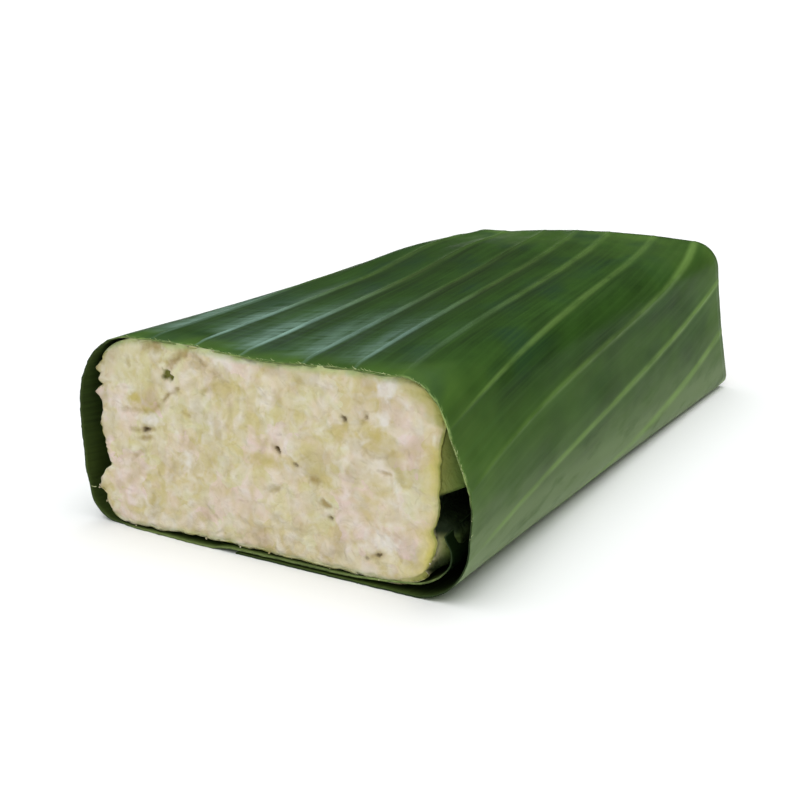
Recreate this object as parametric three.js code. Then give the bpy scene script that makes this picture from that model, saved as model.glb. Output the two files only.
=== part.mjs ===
// A cake of tempeh in its banana leaf, cut open at the near end.
//
// Two pieces: the block of bean cake, and one sheet of leaf wound once round it and a third of a
// turn over itself under the base. Millimetres, +Z up. The origin is under the middle of the
// package, the near cut face looks along -Y, and the package runs back along +Y.
import * as THREE from "three";
import { mergeVertices } from "three/addons/utils/BufferGeometryUtils.js";

// ---- Driving sizes. A pair is [at the near end, at the far end].

const LENGTH = 142;
const FLARE_FADE = 1.6; // how quickly the loose near end tightens towards the far end

const LEAF_THICKNESS = 0.4;
const LAYER_LIFT = 0.72; // the inner layer's rise where it lies on the outer one
const LAYER_RAMP = 5; // length over which the inner layer comes down past the outer free edge
const CURL_GAP = [2.4, 0.3]; // the inner free end stands off the outer layer by this
const CURL = { from: 3, to: 16 }; // where along the inner end the curl fades out
const TOP_CROWN = { height: [0, 1.75], middle: 6, halfWidth: 30 }; // rise of the middle of the top
const LEFT_HUMP = { height: 1.4, station: 0.74, reach: 0.26, from: -8, full: 26 }; // the top's left side
const TOP_SWELL = { height: [0.35, 0], length: 48, crest: -25 }; // slow waves across the top

// Corners of the leaf's outer face, clockwise as seen from the near end.
const WRAP_CORNERS = {
  topRight: { x: [34.4, 32.0], z: [36.9, 34.8], radius: [9, 6] },
  belly: { x: [42.0, 34.3], z: [18, 15], radius: [14, 20] },
  bottomRight: { x: [40.3, 36.6], z: [0, 0], radius: [11, 3] },
  bottomLeft: { x: [-41.9, -38.6], z: [0, 0], radius: [6, 6] },
  topLeft: { x: [-41.7, -37.6], z: [36.9, 34.5], radius: [11.5, 7] },
};

// Corners of the block of tempeh, counter-clockwise from the bottom left.
const CAKE_CORNERS = {
  bottomLeft: { x: [-38.6, -36.8], z: [1.5, 1.5], radius: [5.5, 5] },
  bottomRight: { x: [36.3, 33.4], z: [1.5, 1.5], radius: [10, 4] },
  topRight: { x: [36.4, 30.5], z: [36.2, 34.0], radius: [8.7, 5.5] },
  topLeft: { x: [-39.4, -35.6], z: [36.2, 33.7], radius: [9.3, 6.5] },
};
const BASE_STEP = { depth: 0.6, from: -18, to: -24 }; // the base lies lower on the single layer

// The sheet is measured across its veins, from the line above the package's middle.
const SHEET = { inner: -161, outer: 101.5 };
const TOP_VEINS = [-33.2, -23.3, -13, -1.3, 7.7, 16.4, 28.4, 39, 50.7, 63, 75.4, 88];
const LEFT_VEIN_PITCH = 9.83; // regular from the first of these down to the inner edge
// The veins run aslant, more so near both ends: sideways = -(straight * d + curved * d^3).
const SLANT = { straight: 0.13, curved: 9e-6 };
const SLANT_SHARE = [[-161, 0.15], [-110, 1]]; // the inner edge lies nearly along the package
const VEIN_RIDGE = [[-52, 0.08], [-36, 0.45], [22, 0.4], [38, 0.2], [60, 0.15]];
const COLUMNS_PER_VEIN = 5;
const SHEET_ROWS = 12;

// How far each rim is drawn back, against the distance round the section at that end.
const NEAR_RIM = [
  [-159, 1.2], [-118, 0.5], [-98, 0.1], [-83, 0.5], [-76, 1.2], [-69, 0.9], [-62, 0.1], [-52, 0],
  [-42, 1.1], [-30, 2.9], [-14, 3.5], [0, 2.7], [14, 3.3], [27, 2.7], [42, 1.5], [60, 0.8], [76, 0.3],
];
const FAR_RIM = [[-159, 1.2], [-110, 1.0], [-60, 0.6], [-30, 0], [70, 0], [100, 0.6]];

// The two cut faces, measured from the near end of the leaf; the knife leaned a little.
const CAKE_FACES = { near: { base: 0.9, top: 3.3 }, far: { base: 140.4, top: 139.4 } };
const CAKE_CELLS = { across: 42, up: 20, along: 9 };
const BEAN = { width: 8.6, height: 6.6, groove: 0.55, grooveWidth: 0.34, sideRelief: 0.35 };
const SEED = 7;

// ---- Small helpers

const lerp = THREE.MathUtils.lerp;
const smooth = (value, from, to) => THREE.MathUtils.smoothstep(value, from, to);

/** The value of a [near, far] pair at a station between 0 and 1. */
function along(pair, station) {
  return lerp(pair[1], pair[0], (1 - station) ** FLARE_FADE);
}

/** Reads a table of [position, value] pairs, easing from each entry to the next. */
function profile(table, position) {
  const last = table.length - 1;
  if (position <= table[0][0]) return table[0][1];
  for (let i = 0; i < last; i++) {
    const [[from, a], [to, b]] = [table[i], table[i + 1]];
    if (position <= to) return lerp(a, b, smooth(position, from, to));
  }
  return table[last][1];
}

/** A repeatable number between 0 and 1 for a cell of a grid. */
function cellRandom(column, row, salt) {
  const mixed = Math.sin(column * 127.1 + row * 311.7 + salt * 74.7 + SEED * 19.3) * 43758.5453;
  return mixed - Math.floor(mixed);
}

/** A closed path of straight runs joined by arcs, starting half way along its last run. */
function roundedPath(corners) {
  const count = corners.length;
  const start = corners[count - 1].point.clone().lerp(corners[0].point, 0.5);
  const path = new THREE.Path([start]);
  path.moveTo(start.x, start.y);
  corners.forEach(({ point, radius }, i) => {
    const before = i === 0 ? start : corners[i - 1].point;
    const after = corners[(i + 1) % count].point;
    const arriving = point.clone().sub(before).normalize();
    const leaving = after.clone().sub(point).normalize();
    const turn = Math.atan2(arriving.cross(leaving), arriving.dot(leaving));
    const reach = radius * Math.tan(Math.abs(turn) / 2);
    const from = point.clone().addScaledVector(arriving, -reach);
    const to = point.clone().addScaledVector(leaving, reach);
    const side = new THREE.Vector2(-arriving.y, arriving.x).multiplyScalar(Math.sign(turn));
    const centre = from.clone().addScaledVector(side, radius);
    const angle = (p) => Math.atan2(p.y - centre.y, p.x - centre.x);
    path.lineTo(from.x, from.y);
    path.absarc(centre.x, centre.y, radius, angle(from), angle(to), turn < 0);
  });
  path.lineTo(start.x, start.y);
  return path;
}

/** The corners of a section at a station, as roundedPath takes them. */
function cornersAt(corners, names, station, inset = 0) {
  return names.map((name) => {
    const corner = corners[name];
    const x = along(corner.x, station);
    const z = along(corner.z, station);
    const towardsMiddle = new THREE.Vector2(-Math.sign(x), z > 10 && name !== "belly" ? -1 : 1);
    if (name === "belly") towardsMiddle.y = 0;
    return {
      point: new THREE.Vector2(x, z).addScaledVector(towardsMiddle, inset),
      radius: along(corner.radius, station) - inset,
    };
  });
}

/** One mesh from a list of points and a list of corner indices. */
function solid(name, points, indices, material) {
  const geometry = new THREE.BufferGeometry();
  geometry.setAttribute("position", new THREE.Float32BufferAttribute(points.flat(), 3));
  geometry.setIndex(indices);
  const welded = mergeVertices(geometry, 1e-3);
  const mesh = new THREE.Mesh(welded, material);
  mesh.name = name;
  return mesh;
}

// ---- The leaf

/** The middle of the leaf's thickness in one section, with the length round it. */
class WrapSection {
  constructor(station) {
    this.station = station;
    const names = ["topRight", "belly", "bottomRight", "bottomLeft", "topLeft"];
    this.path = roundedPath(cornersAt(WRAP_CORNERS, names, station, LEAF_THICKNESS / 2));
    this.around = this.path.getLength();
    // the path starts half way along the top, a little off the line above the middle
    this.startX = this.path.getPoint(0).x;
  }

  /** The point at a distance from the line above the middle, and the direction that faces out. */
  at(distance) {
    const turn = (distance - this.startX) / this.around;
    const place = turn - Math.floor(turn);
    const point = this.path.getPoint(place);
    const step = 0.4 / this.around;
    const ahead = this.path.getPoint((place + step) % 1);
    const behind = this.path.getPoint((place + 1 - step) % 1);
    const out = new THREE.Vector2(behind.y - ahead.y, ahead.x - behind.x).normalize();
    return { point, out };
  }
}

/** How far a place on the sheet has run sideways at a distance along the package. */
function slant(across, length) {
  const d = length - LENGTH / 2;
  return -profile(SLANT_SHARE, across) * (SLANT.straight * d + SLANT.curved * d ** 3);
}

/** The places of the sheet's columns: each vein, and the panel between it and the next. */
function sheetColumns() {
  const regular = Math.round((TOP_VEINS[0] - SHEET.inner) / LEFT_VEIN_PITCH);
  const left = Array.from({ length: regular }, (_, i) => SHEET.inner + i * LEFT_VEIN_PITCH);
  const veins = [...left, ...TOP_VEINS, SHEET.outer];
  const columns = [];
  for (let i = 0; i + 1 < veins.length; i++) {
    for (let k = 0; k < COLUMNS_PER_VEIN; k++) {
      const part = k / COLUMNS_PER_VEIN;
      columns.push({ across: lerp(veins[i], veins[i + 1], part), ridge: 1 - Math.sin(Math.PI * part) });
    }
  }
  columns.push({ across: SHEET.outer, ridge: 1 });
  return columns;
}

/** The rise of the sheet off the outer track where it lies on itself and where it curls free. */
function innerLift(section, distance, length) {
  const outerEdge = SHEET.outer + slant(SHEET.outer, length) - section.around;
  const overlapping = 1 - smooth(distance, outerEdge + 1, outerEdge + 1 + LAYER_RAMP);
  const innerEdge = SHEET.inner + slant(SHEET.inner, length);
  const curled = 1 - smooth(distance, innerEdge + CURL.from, innerEdge + CURL.to);
  return overlapping * LAYER_LIFT + curled * along(CURL_GAP, section.station);
}

/** The rise of the package's top above its flat section, which leaf and cake share. */
function topRise({ x, y: z }, station) {
  const offMiddle = (x - TOP_CROWN.middle) / TOP_CROWN.halfWidth;
  const crown = along(TOP_CROWN.height, station) * Math.max(0, 1 - offMiddle ** 2);
  const humpFade = 1 - smooth(Math.abs(station - LEFT_HUMP.station), 0, LEFT_HUMP.reach);
  const hump = LEFT_HUMP.height * humpFade * smooth(-x, LEFT_HUMP.from, LEFT_HUMP.full);
  const wave = Math.cos((2 * Math.PI * (x - TOP_SWELL.crest)) / TOP_SWELL.length);
  return (crown + hump + along(TOP_SWELL.height, station) * wave) * smooth(z, 24, 33);
}

/** One point of the sheet: its middle and the direction across its thickness. */
function leafPoint({ across, ridge }, row) {
  const near = profile(NEAR_RIM, across + slant(across, 0));
  const far = LENGTH - profile(FAR_RIM, across + slant(across, LENGTH));
  const length = lerp(near, far, row / SHEET_ROWS);
  const station = length / LENGTH;
  const section = new WrapSection(station);
  const distance = across + slant(across, length);
  const { point, out } = section.at(distance);
  const ridgeRise = smooth(point.y, 9, 20) * profile(VEIN_RIDGE, across) * ridge;
  const lift = topRise(point, station) + ridgeRise - innerLift(section, distance, length);
  const middle = point.clone().addScaledVector(out, lift);
  return { middle, out, y: length - LENGTH / 2 };
}

/** The wound sheet, both faces split alike and joined round the rim. */
function bananaLeaf(material) {
  const columns = sheetColumns();
  const wide = columns.length;
  const grid = [];
  for (let row = 0; row <= SHEET_ROWS; row++) {
    for (const column of columns) grid.push(leafPoint(column, row));
  }
  const face = (side) => grid.map(({ middle, out, y }) => {
    const p = middle.clone().addScaledVector(out, (side * LEAF_THICKNESS) / 2);
    return [p.x, y, p.y];
  });
  const points = [...face(1), ...face(-1)];
  const under = grid.length;
  const indices = [];
  const quad = (a, b, c, d) => indices.push(a, b, c, a, c, d);
  for (let row = 0; row < SHEET_ROWS; row++) {
    for (let i = 0; i + 1 < wide; i++) {
      const [a, b] = [row * wide + i, row * wide + i + 1];
      quad(a, b, b + wide, a + wide);
      quad(under + a, under + a + wide, under + b + wide, under + b);
    }
    const [first, last] = [row * wide, row * wide + wide - 1];
    quad(first, first + wide, under + first + wide, under + first);
    quad(last, under + last, under + last + wide, last + wide);
  }
  const farRow = SHEET_ROWS * wide;
  for (let i = 0; i + 1 < wide; i++) {
    quad(i, under + i, under + i + 1, i + 1);
    quad(farRow + i, farRow + i + 1, under + farRow + i + 1, under + farRow + i);
  }
  return solid("banana_leaf", points, indices, material);
}

// ---- The tempeh

/** Depth of the groove between beans at a place: 0 on a bean and 1 half way between two. */
function beanGroove(a, b, salt) {
  const [u, v] = [a / BEAN.width, b / BEAN.height];
  let [nearest, second] = [Infinity, Infinity];
  for (let i = Math.floor(u) - 1; i <= Math.floor(u) + 1; i++) {
    for (let j = Math.floor(v) - 1; j <= Math.floor(v) + 1; j++) {
      const du = i + cellRandom(i, j, salt) - u;
      const dv = j + cellRandom(i, j, salt + 1) - v;
      const away = Math.hypot(du, dv);
      if (away < nearest) [nearest, second] = [away, nearest];
      else if (away < second) second = away;
    }
  }
  return 1 - smooth(second - nearest, 0, BEAN.grooveWidth);
}

/** The four sides of the block's section, each from corner to corner, at a station. */
function cakeOutline(station, { across, up }) {
  const names = ["bottomRight", "topRight", "topLeft", "bottomLeft"];
  const path = roundedPath(cornersAt(CAKE_CORNERS, names, station));
  const base = names.map((name) => {
    const corner = CAKE_CORNERS[name];
    return new THREE.Vector2(along(corner.x, station), along(corner.z, station));
  });
  // the place on the path that is nearest to each corner
  const samples = path.getSpacedPoints(400);
  const nearest = base.map((corner) => {
    let best = 0;
    samples.forEach((p, i) => {
      if (p.distanceTo(corner) < samples[best].distanceTo(corner)) best = i;
    });
    return best / 400;
  });
  const run = (from, to, count) => {
    const end = to > from ? to : to + 1;
    return Array.from({ length: count + 1 }, (_, i) => path.getPoint(lerp(from, end, i / count) % 1));
  };
  const [bottomRight, topRight, topLeft, bottomLeft] = nearest;
  return {
    bottom: run(bottomLeft, bottomRight, across),
    right: run(bottomRight, topRight, up),
    top: run(topRight, topLeft, across).reverse(),
    left: run(topLeft, bottomLeft, up).reverse(),
  };
}

/** A point of the block's section with the top's rise, the base's step and the beans' relief. */
function shaped(point, length) {
  const station = length / LENGTH;
  const moved = point.clone();
  moved.y += topRise(point, station);
  moved.y -= BASE_STEP.depth * smooth(-point.x, -BASE_STEP.from, -BASE_STEP.to) * (1 - smooth(point.y, 2, 12));
  const inwards = new THREE.Vector2(point.x * 0.9, 18).sub(moved).normalize();
  const depth = beanGroove(length, point.x + point.y, 10) * BEAN.sideRelief;
  return moved.addScaledVector(inwards, depth);
}

/** The distance back of a cut face at a height. */
function faceAt({ base, top }, z) {
  return lerp(base, top, z / 37);
}

/** The block: a grid over each cut face, and rows of points round its sides. */
function tempehCake(material) {
  const { across, up, along: rows } = CAKE_CELLS;
  const points = [];
  const indices = [];
  const key = new Map();
  const vertex = (layer, i, j, place) => {
    const id = `${layer},${i},${j}`;
    if (!key.has(id)) {
      key.set(id, points.length);
      points.push(place());
    }
    return key.get(id);
  };
  const { near, far } = CAKE_FACES;
  const outlines = Array.from({ length: rows + 1 }, (_, layer) => {
    const length = lerp(near.top, far.top, layer / rows);
    return { length, ...cakeOutline(length / LENGTH, CAKE_CELLS) };
  });
  const edgePoint = (layer, i, j) => {
    const o = outlines[layer];
    const p = j === 0 ? o.bottom[i] : j === up ? o.top[i] : i === 0 ? o.left[j] : o.right[j];
    const length = lerp(faceAt(near, p.y), faceAt(far, p.y), layer / rows);
    const q = shaped(p, length);
    return [q.x, length - LENGTH / 2, q.y];
  };
  const facePoint = (layer, i, j) => {
    const o = outlines[layer];
    const [u, v] = [i / across, j / up];
    const mix = (axis) => lerp(o.bottom[i][axis], o.top[i][axis], v) + lerp(o.left[j][axis], o.right[j][axis], u)
      - lerp(lerp(o.bottom[0][axis], o.bottom[across][axis], u), lerp(o.top[0][axis], o.top[across][axis], u), v);
    const [x, z] = [mix("x"), mix("y")];
    const [face, inwards] = layer === 0 ? [near, 1] : [far, -1];
    const groove = beanGroove(x, z, layer) * BEAN.groove;
    return [x, faceAt(face, z) + inwards * groove - LENGTH / 2, z];
  };
  const at = (layer, i, j) => {
    const onEdge = i === 0 || i === across || j === 0 || j === up;
    return vertex(layer, i, j, () => (onEdge ? edgePoint(layer, i, j) : facePoint(layer, i, j)));
  };
  const quad = (a, b, c, d) => indices.push(a, b, c, a, c, d);
  for (let i = 0; i < across; i++) {
    for (let j = 0; j < up; j++) {
      quad(at(0, i, j), at(0, i + 1, j), at(0, i + 1, j + 1), at(0, i, j + 1));
      quad(at(rows, i, j), at(rows, i, j + 1), at(rows, i + 1, j + 1), at(rows, i + 1, j));
    }
  }
  const ring = [];
  for (let i = 0; i < across; i++) ring.push([i, 0]);
  for (let j = 0; j < up; j++) ring.push([across, j]);
  for (let i = across; i > 0; i--) ring.push([i, up]);
  for (let j = up; j > 0; j--) ring.push([0, j]);
  for (let layer = 0; layer < rows; layer++) {
    ring.forEach(([i, j], n) => {
      const [k, l] = ring[(n + 1) % ring.length];
      quad(at(layer, i, j), at(layer + 1, i, j), at(layer + 1, k, l), at(layer, k, l));
    });
  }
  return solid("tempeh_cake", points, indices, material);
}

// ---- The package

const leafGreen = new THREE.MeshStandardMaterial({ color: 0x35552a, roughness: 0.38, metalness: 0 });
const beanCream = new THREE.MeshStandardMaterial({ color: 0xdacdae, roughness: 0.85, metalness: 0 });

const tempehPackage = new THREE.Group();
tempehPackage.add(tempehCake(beanCream), bananaLeaf(leafGreen));

export default tempehPackage;
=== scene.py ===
"""A cake of tempeh in its banana leaf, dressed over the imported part.

The block is cut open at the near end, which looks along -Y. One sheet of leaf is wound round it:
it starts as a free end inside the right-hand bottom corner, runs left under the block, up the left
side, over the top, down the loose right side and back under the base. Sizes are in millimetres and
the meshes are written in metres, in the frame of the part.
"""
from __future__ import annotations

import logging
import math
from dataclasses import dataclass, field, replace
from enum import Enum
from functools import cached_property

import bpy
import numpy as np
from mathutils import Matrix, Vector


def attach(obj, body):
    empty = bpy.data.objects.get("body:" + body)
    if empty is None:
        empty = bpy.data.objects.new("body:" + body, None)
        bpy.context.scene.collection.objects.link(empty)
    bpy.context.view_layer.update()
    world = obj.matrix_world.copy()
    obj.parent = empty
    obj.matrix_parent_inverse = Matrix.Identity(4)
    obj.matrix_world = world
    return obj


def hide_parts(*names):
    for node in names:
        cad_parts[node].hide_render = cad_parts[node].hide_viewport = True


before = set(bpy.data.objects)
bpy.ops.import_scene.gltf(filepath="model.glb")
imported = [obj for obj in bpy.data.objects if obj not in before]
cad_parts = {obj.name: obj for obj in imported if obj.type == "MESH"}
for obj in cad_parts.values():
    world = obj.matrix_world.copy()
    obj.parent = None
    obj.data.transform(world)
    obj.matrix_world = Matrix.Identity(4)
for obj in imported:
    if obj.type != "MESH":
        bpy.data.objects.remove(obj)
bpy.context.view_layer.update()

LOG = logging.getLogger("tempeh")
Array = np.ndarray
Table = list[tuple[float, float]]
Socket = bpy.types.NodeSocket
Material = bpy.types.Material
Piece = bpy.types.Object

MM = 0.001
LENGTH = 142.0  # from the near end of the leaf to the far one
HALF = LENGTH / 2
FLARE_FADE = 1.6  # how quickly the loose near end tightens towards the far end


# ---- Small helpers


def linear(code: str) -> tuple[float, ...]:
    """Turns an sRGB hex colour into linear light.

    Args:
        code: the colour as #rrggbb.

    Returns:
        Red, green, blue and an alpha of 1.
    """
    levels = [int(code[i:i + 2], 16) / 255 for i in (1, 3, 5)]
    return (*(c / 12.92 if c <= 0.04045 else ((c + 0.055) / 1.055) ** 2.4 for c in levels), 1.0)


def ease(value: Array | float, start: Array | float, end: Array | float) -> Array:
    """Rises smoothly from 0 at start to 1 at end."""
    part = np.clip((np.asarray(value, float) - start) / (end - start), 0, 1)
    return part * part * (3 - 2 * part)


def profile(table: Table, place: Array | float) -> Array:
    """Reads a table, easing from each entry to the next.

    Args:
        table: pairs of place and value, in rising order of place.
        place: where to read it.

    Returns:
        The value at each place.
    """
    value = np.full(np.shape(place), table[0][1])
    for (start, low), (end, high) in zip(table, table[1:]):
        value = value + (high - low) * ease(place, start, end)
    return value


def unit(run: Array) -> Array:
    """The same directions at a length of 1."""
    return run / np.linalg.norm(run, axis=-1, keepdims=True)


def upright(section: Array, y: Array | float = 0.0) -> Array:
    """Section points or directions in space, at their places along the package."""
    return np.stack(np.broadcast_arrays(section[..., 0], y, section[..., 1]), -1)


def quads(*corners: Array) -> Array:
    """Faces from the numbers of their four corners."""
    return np.stack(corners, -1).reshape(-1, 4)


@dataclass(frozen=True)
class Taper:
    """A size that eases from the near end of the package to the far end."""

    near: float
    far: float

    def at(self, station: Array | float) -> Array:
        """The size at a station between 0 and 1."""
        return self.far + (self.near - self.far) * (1 - np.asarray(station, float)) ** FLARE_FADE


class Drift:
    """Smooth chance variation over a plane, between -1 and 1, the same in every run."""

    CELLS = 64

    def __init__(self, seed: int) -> None:
        """Draws the values at the corners of the cells."""
        self.corner = np.random.default_rng(seed).uniform(-1, 1, (self.CELLS, self.CELLS))

    def at(self, a: Array, b: Array | float) -> Array:
        """Reads the variation.

        Args:
            a: the first coordinate, in cells.
            b: the second one.

        Returns:
            The value at each pair.
        """
        a, b = np.broadcast_arrays(np.asarray(a, float), np.asarray(b, float))
        i, j = np.floor(a).astype(int), np.floor(b).astype(int)
        u, v = ease(a - i, 0, 1), ease(b - j, 0, 1)
        pick = lambda k, m: self.corner[(i + k) % self.CELLS, (j + m) % self.CELLS]
        low, high = (pick(0, m) * (1 - u) + pick(1, m) * u for m in (0, 1))
        return low * (1 - v) + high * v


# ---- The package's sections


@dataclass(frozen=True)
class Corner:
    """A rounded corner of a section; inward points from it towards the middle."""

    x: Taper
    z: Taper
    radius: Taper
    inward: tuple[int, int]

    def at(self, station: float, inset: float = 0.0) -> tuple[Array, float]:
        """The corner's point and radius at a station, moved in by inset."""
        point = np.array([self.x.at(station), self.z.at(station)]) + inset * np.array(self.inward)
        return point, float(self.radius.at(station)) - inset


# The leaf's outer face, clockwise as seen from the near end.
WRAP_CORNERS = (
    Corner(Taper(34.4, 32.0), Taper(36.9, 34.8), Taper(9, 6), (-1, -1)),
    Corner(Taper(42.0, 34.3), Taper(18, 15), Taper(14, 20), (-1, 0)),
    Corner(Taper(40.3, 36.6), Taper(0, 0), Taper(11, 3), (-1, 1)),
    Corner(Taper(-41.9, -38.6), Taper(0, 0), Taper(6, 6), (1, 1)),
    Corner(Taper(-41.7, -37.6), Taper(36.9, 34.5), Taper(11.5, 7), (1, -1)),
)
# The block of tempeh: bottom right, top right, top left and bottom left.
CAKE_CORNERS = (
    Corner(Taper(36.3, 33.4), Taper(1.5, 1.5), Taper(10, 4), (-1, 1)),
    Corner(Taper(36.4, 30.5), Taper(36.2, 34.0), Taper(8.7, 5.5), (-1, -1)),
    Corner(Taper(-39.4, -35.6), Taper(36.2, 33.7), Taper(9.3, 6.5), (1, -1)),
    Corner(Taper(-38.6, -36.8), Taper(1.5, 1.5), Taper(5.5, 5), (1, 1)),
)
ARC_STEPS = 64
TOP_CROWN = Taper(0, 1.75)  # rise of the middle of the top
CROWN_MIDDLE, CROWN_HALF_WIDTH = 6.0, 30.0
HUMP_HEIGHT, HUMP_STATION, HUMP_REACH = 1.4, 0.74, 0.26  # the top's left side swells there
HUMP_SIDE = (-8.0, 26.0)  # how far to the left of the middle the hump starts and is full
TOP_SETS_IN = (24.0, 33.0)  # heights between which the top's own shape sets in
SWELL_HEIGHT, SWELL_LENGTH, SWELL_CREST = Taper(0.35, 0), 48.0, -25.0  # slow waves across the top
Path2D = tuple[Array, Array]  # points, and the length along the path at each


def rounded_path(corners: tuple[Corner, ...], station: float, inset: float = 0.0) -> Path2D:
    """A closed section of straight runs and arcs, from half way along its last run.

    Args:
        corners: the section's corners in order.
        station: the place along the package, 0 to 1.
        inset: how far inside the corners the path runs.

    Returns:
        The path.
    """
    placed = [corner.at(station, inset) for corner in corners]
    start = (placed[-1][0] + placed[0][0]) / 2
    points = [start]
    for i, (point, radius) in enumerate(placed):
        arriving = unit(point - (placed[i - 1][0] if i else start))
        leaving = unit(placed[(i + 1) % len(placed)][0] - point)
        turn = math.atan2(arriving[0] * leaving[1] - arriving[1] * leaving[0], arriving @ leaving)
        tangent = point - arriving * radius * math.tan(abs(turn) / 2)
        centre = tangent + np.array([-arriving[1], arriving[0]]) * math.copysign(radius, turn)
        angles = math.atan2(*(tangent - centre)[::-1]) + turn * np.linspace(0, 1, ARC_STEPS)
        points.extend(centre + radius * np.stack([np.cos(angles), np.sin(angles)], 1))
    points = np.array([*points, start])
    steps = np.linalg.norm(np.diff(points, axis=0), axis=1)
    return points, np.concatenate([[0], np.cumsum(steps)])


def along(path: Path2D, places: Array) -> Array:
    """The points of a path at those lengths along it."""
    points, lengths = path
    return np.stack([np.interp(places, lengths, points[:, axis]) for axis in range(2)], 1)


def top_rise(x: Array, z: Array, station: Array) -> Array:
    """The rise of the package's top above its flat section, which leaf and block share.

    Args:
        x: the place across of each point of the flat section.
        z: its height.
        station: its place along the package, 0 to 1.

    Returns:
        The rise.
    """
    crown = TOP_CROWN.at(station) * np.maximum(0, 1 - ((x - CROWN_MIDDLE) / CROWN_HALF_WIDTH) ** 2)
    hump = HUMP_HEIGHT * (1 - ease(abs(station - HUMP_STATION), 0, HUMP_REACH)) * ease(-x, *HUMP_SIDE)
    wave = np.cos(2 * np.pi * (x - SWELL_CREST) / SWELL_LENGTH)
    return (crown + hump + SWELL_HEIGHT.at(station) * wave) * ease(z, *TOP_SETS_IN)


class WrapTrack:
    """The track that the leaf follows round the package, sampled from end to end."""

    STATIONS = 143
    STEPS = 1600
    NORMAL_REACH = 2  # samples to either side that give the direction out

    def __init__(self, inset: float) -> None:
        """Samples the section at every station.

        Args:
            inset: the track's depth under the leaf's outer face.
        """
        paths = [rounded_path(WRAP_CORNERS, s, inset) for s in np.linspace(0, 1, self.STATIONS)]
        self.around = np.array([lengths[-1] for _, lengths in paths])
        self.start_x = np.array([points[0, 0] for points, _ in paths])
        share = np.linspace(0, 1, self.STEPS, endpoint=False)
        self.points = np.stack([along(path, share * path[1][-1]) for path in paths])
        behind, ahead = (np.roll(self.points, n * self.NORMAL_REACH, axis=1) for n in (1, -1))
        run = ahead - behind
        self.out = unit(np.stack([-run[..., 1], run[..., 0]], -1))

    def at(self, distance: Array, length: Array) -> tuple[Array, Array]:
        """Places on the track.

        Args:
            distance: how far round, from the line above the middle, rising towards +X.
            length: how far back from the near end.

        Returns:
            The points in the section and the directions that face out.
        """
        level = np.clip(length / LENGTH, 0, 1) * (self.STATIONS - 1)
        low = np.minimum(level.astype(int), self.STATIONS - 2)
        point, out = 0.0, 0.0
        for k, weight in ((low, 1 - (level - low)), (low + 1, level - low)):
            place = (distance - self.start_x[k]) / self.around[k] % 1 * self.STEPS
            i = place.astype(int) % self.STEPS
            part = (place - np.floor(place))[..., None]
            read = lambda table: table[k, i] * (1 - part) + table[k, (i + 1) % self.STEPS] * part
            point = point + read(self.points) * weight[..., None]
            out = out + read(self.out) * weight[..., None]
        return point, unit(out)

    def around_at(self, length: Array) -> Array:
        """The length round the track at a distance back from the near end."""
        return np.interp(length / LENGTH, np.linspace(0, 1, self.STATIONS), self.around)


# ---- Making meshes and node trees


@dataclass
class Sheet:
    """Points, faces and per-point values of a mesh in the making, in millimetres."""

    points: Array
    faces: Array = field(default_factory=lambda: np.zeros((0, 3), int))
    values: dict[str, Array] = field(default_factory=dict)
    parts: Array | None = None  # which region each face belongs to

    def make(self, name: str) -> Piece:
        """Writes the mesh in metres and links its object to the scene.

        Args:
            name: the object's name.

        Returns:
            The object, at the origin.
        """
        mesh = bpy.data.meshes.new(name)
        mesh.from_pydata((self.points * MM).tolist(), [], self.faces.tolist())
        for key, value in self.values.items():
            kind, slot = ("FLOAT_VECTOR", "vector") if value.ndim == 2 else ("FLOAT", "value")
            layer = mesh.attributes.new(key, kind, "POINT")
            layer.data.foreach_set(slot, value.astype(np.float32).ravel())
        if self.parts is not None:
            layer = mesh.attributes.new("part", "INT", "FACE")
            layer.data.foreach_set("value", self.parts.astype(np.int32))
        mesh.polygons.foreach_set("use_smooth", [True] * len(mesh.polygons))
        mesh.update()
        piece = bpy.data.objects.new(name, mesh)
        bpy.context.scene.collection.objects.link(piece)
        return piece


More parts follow.
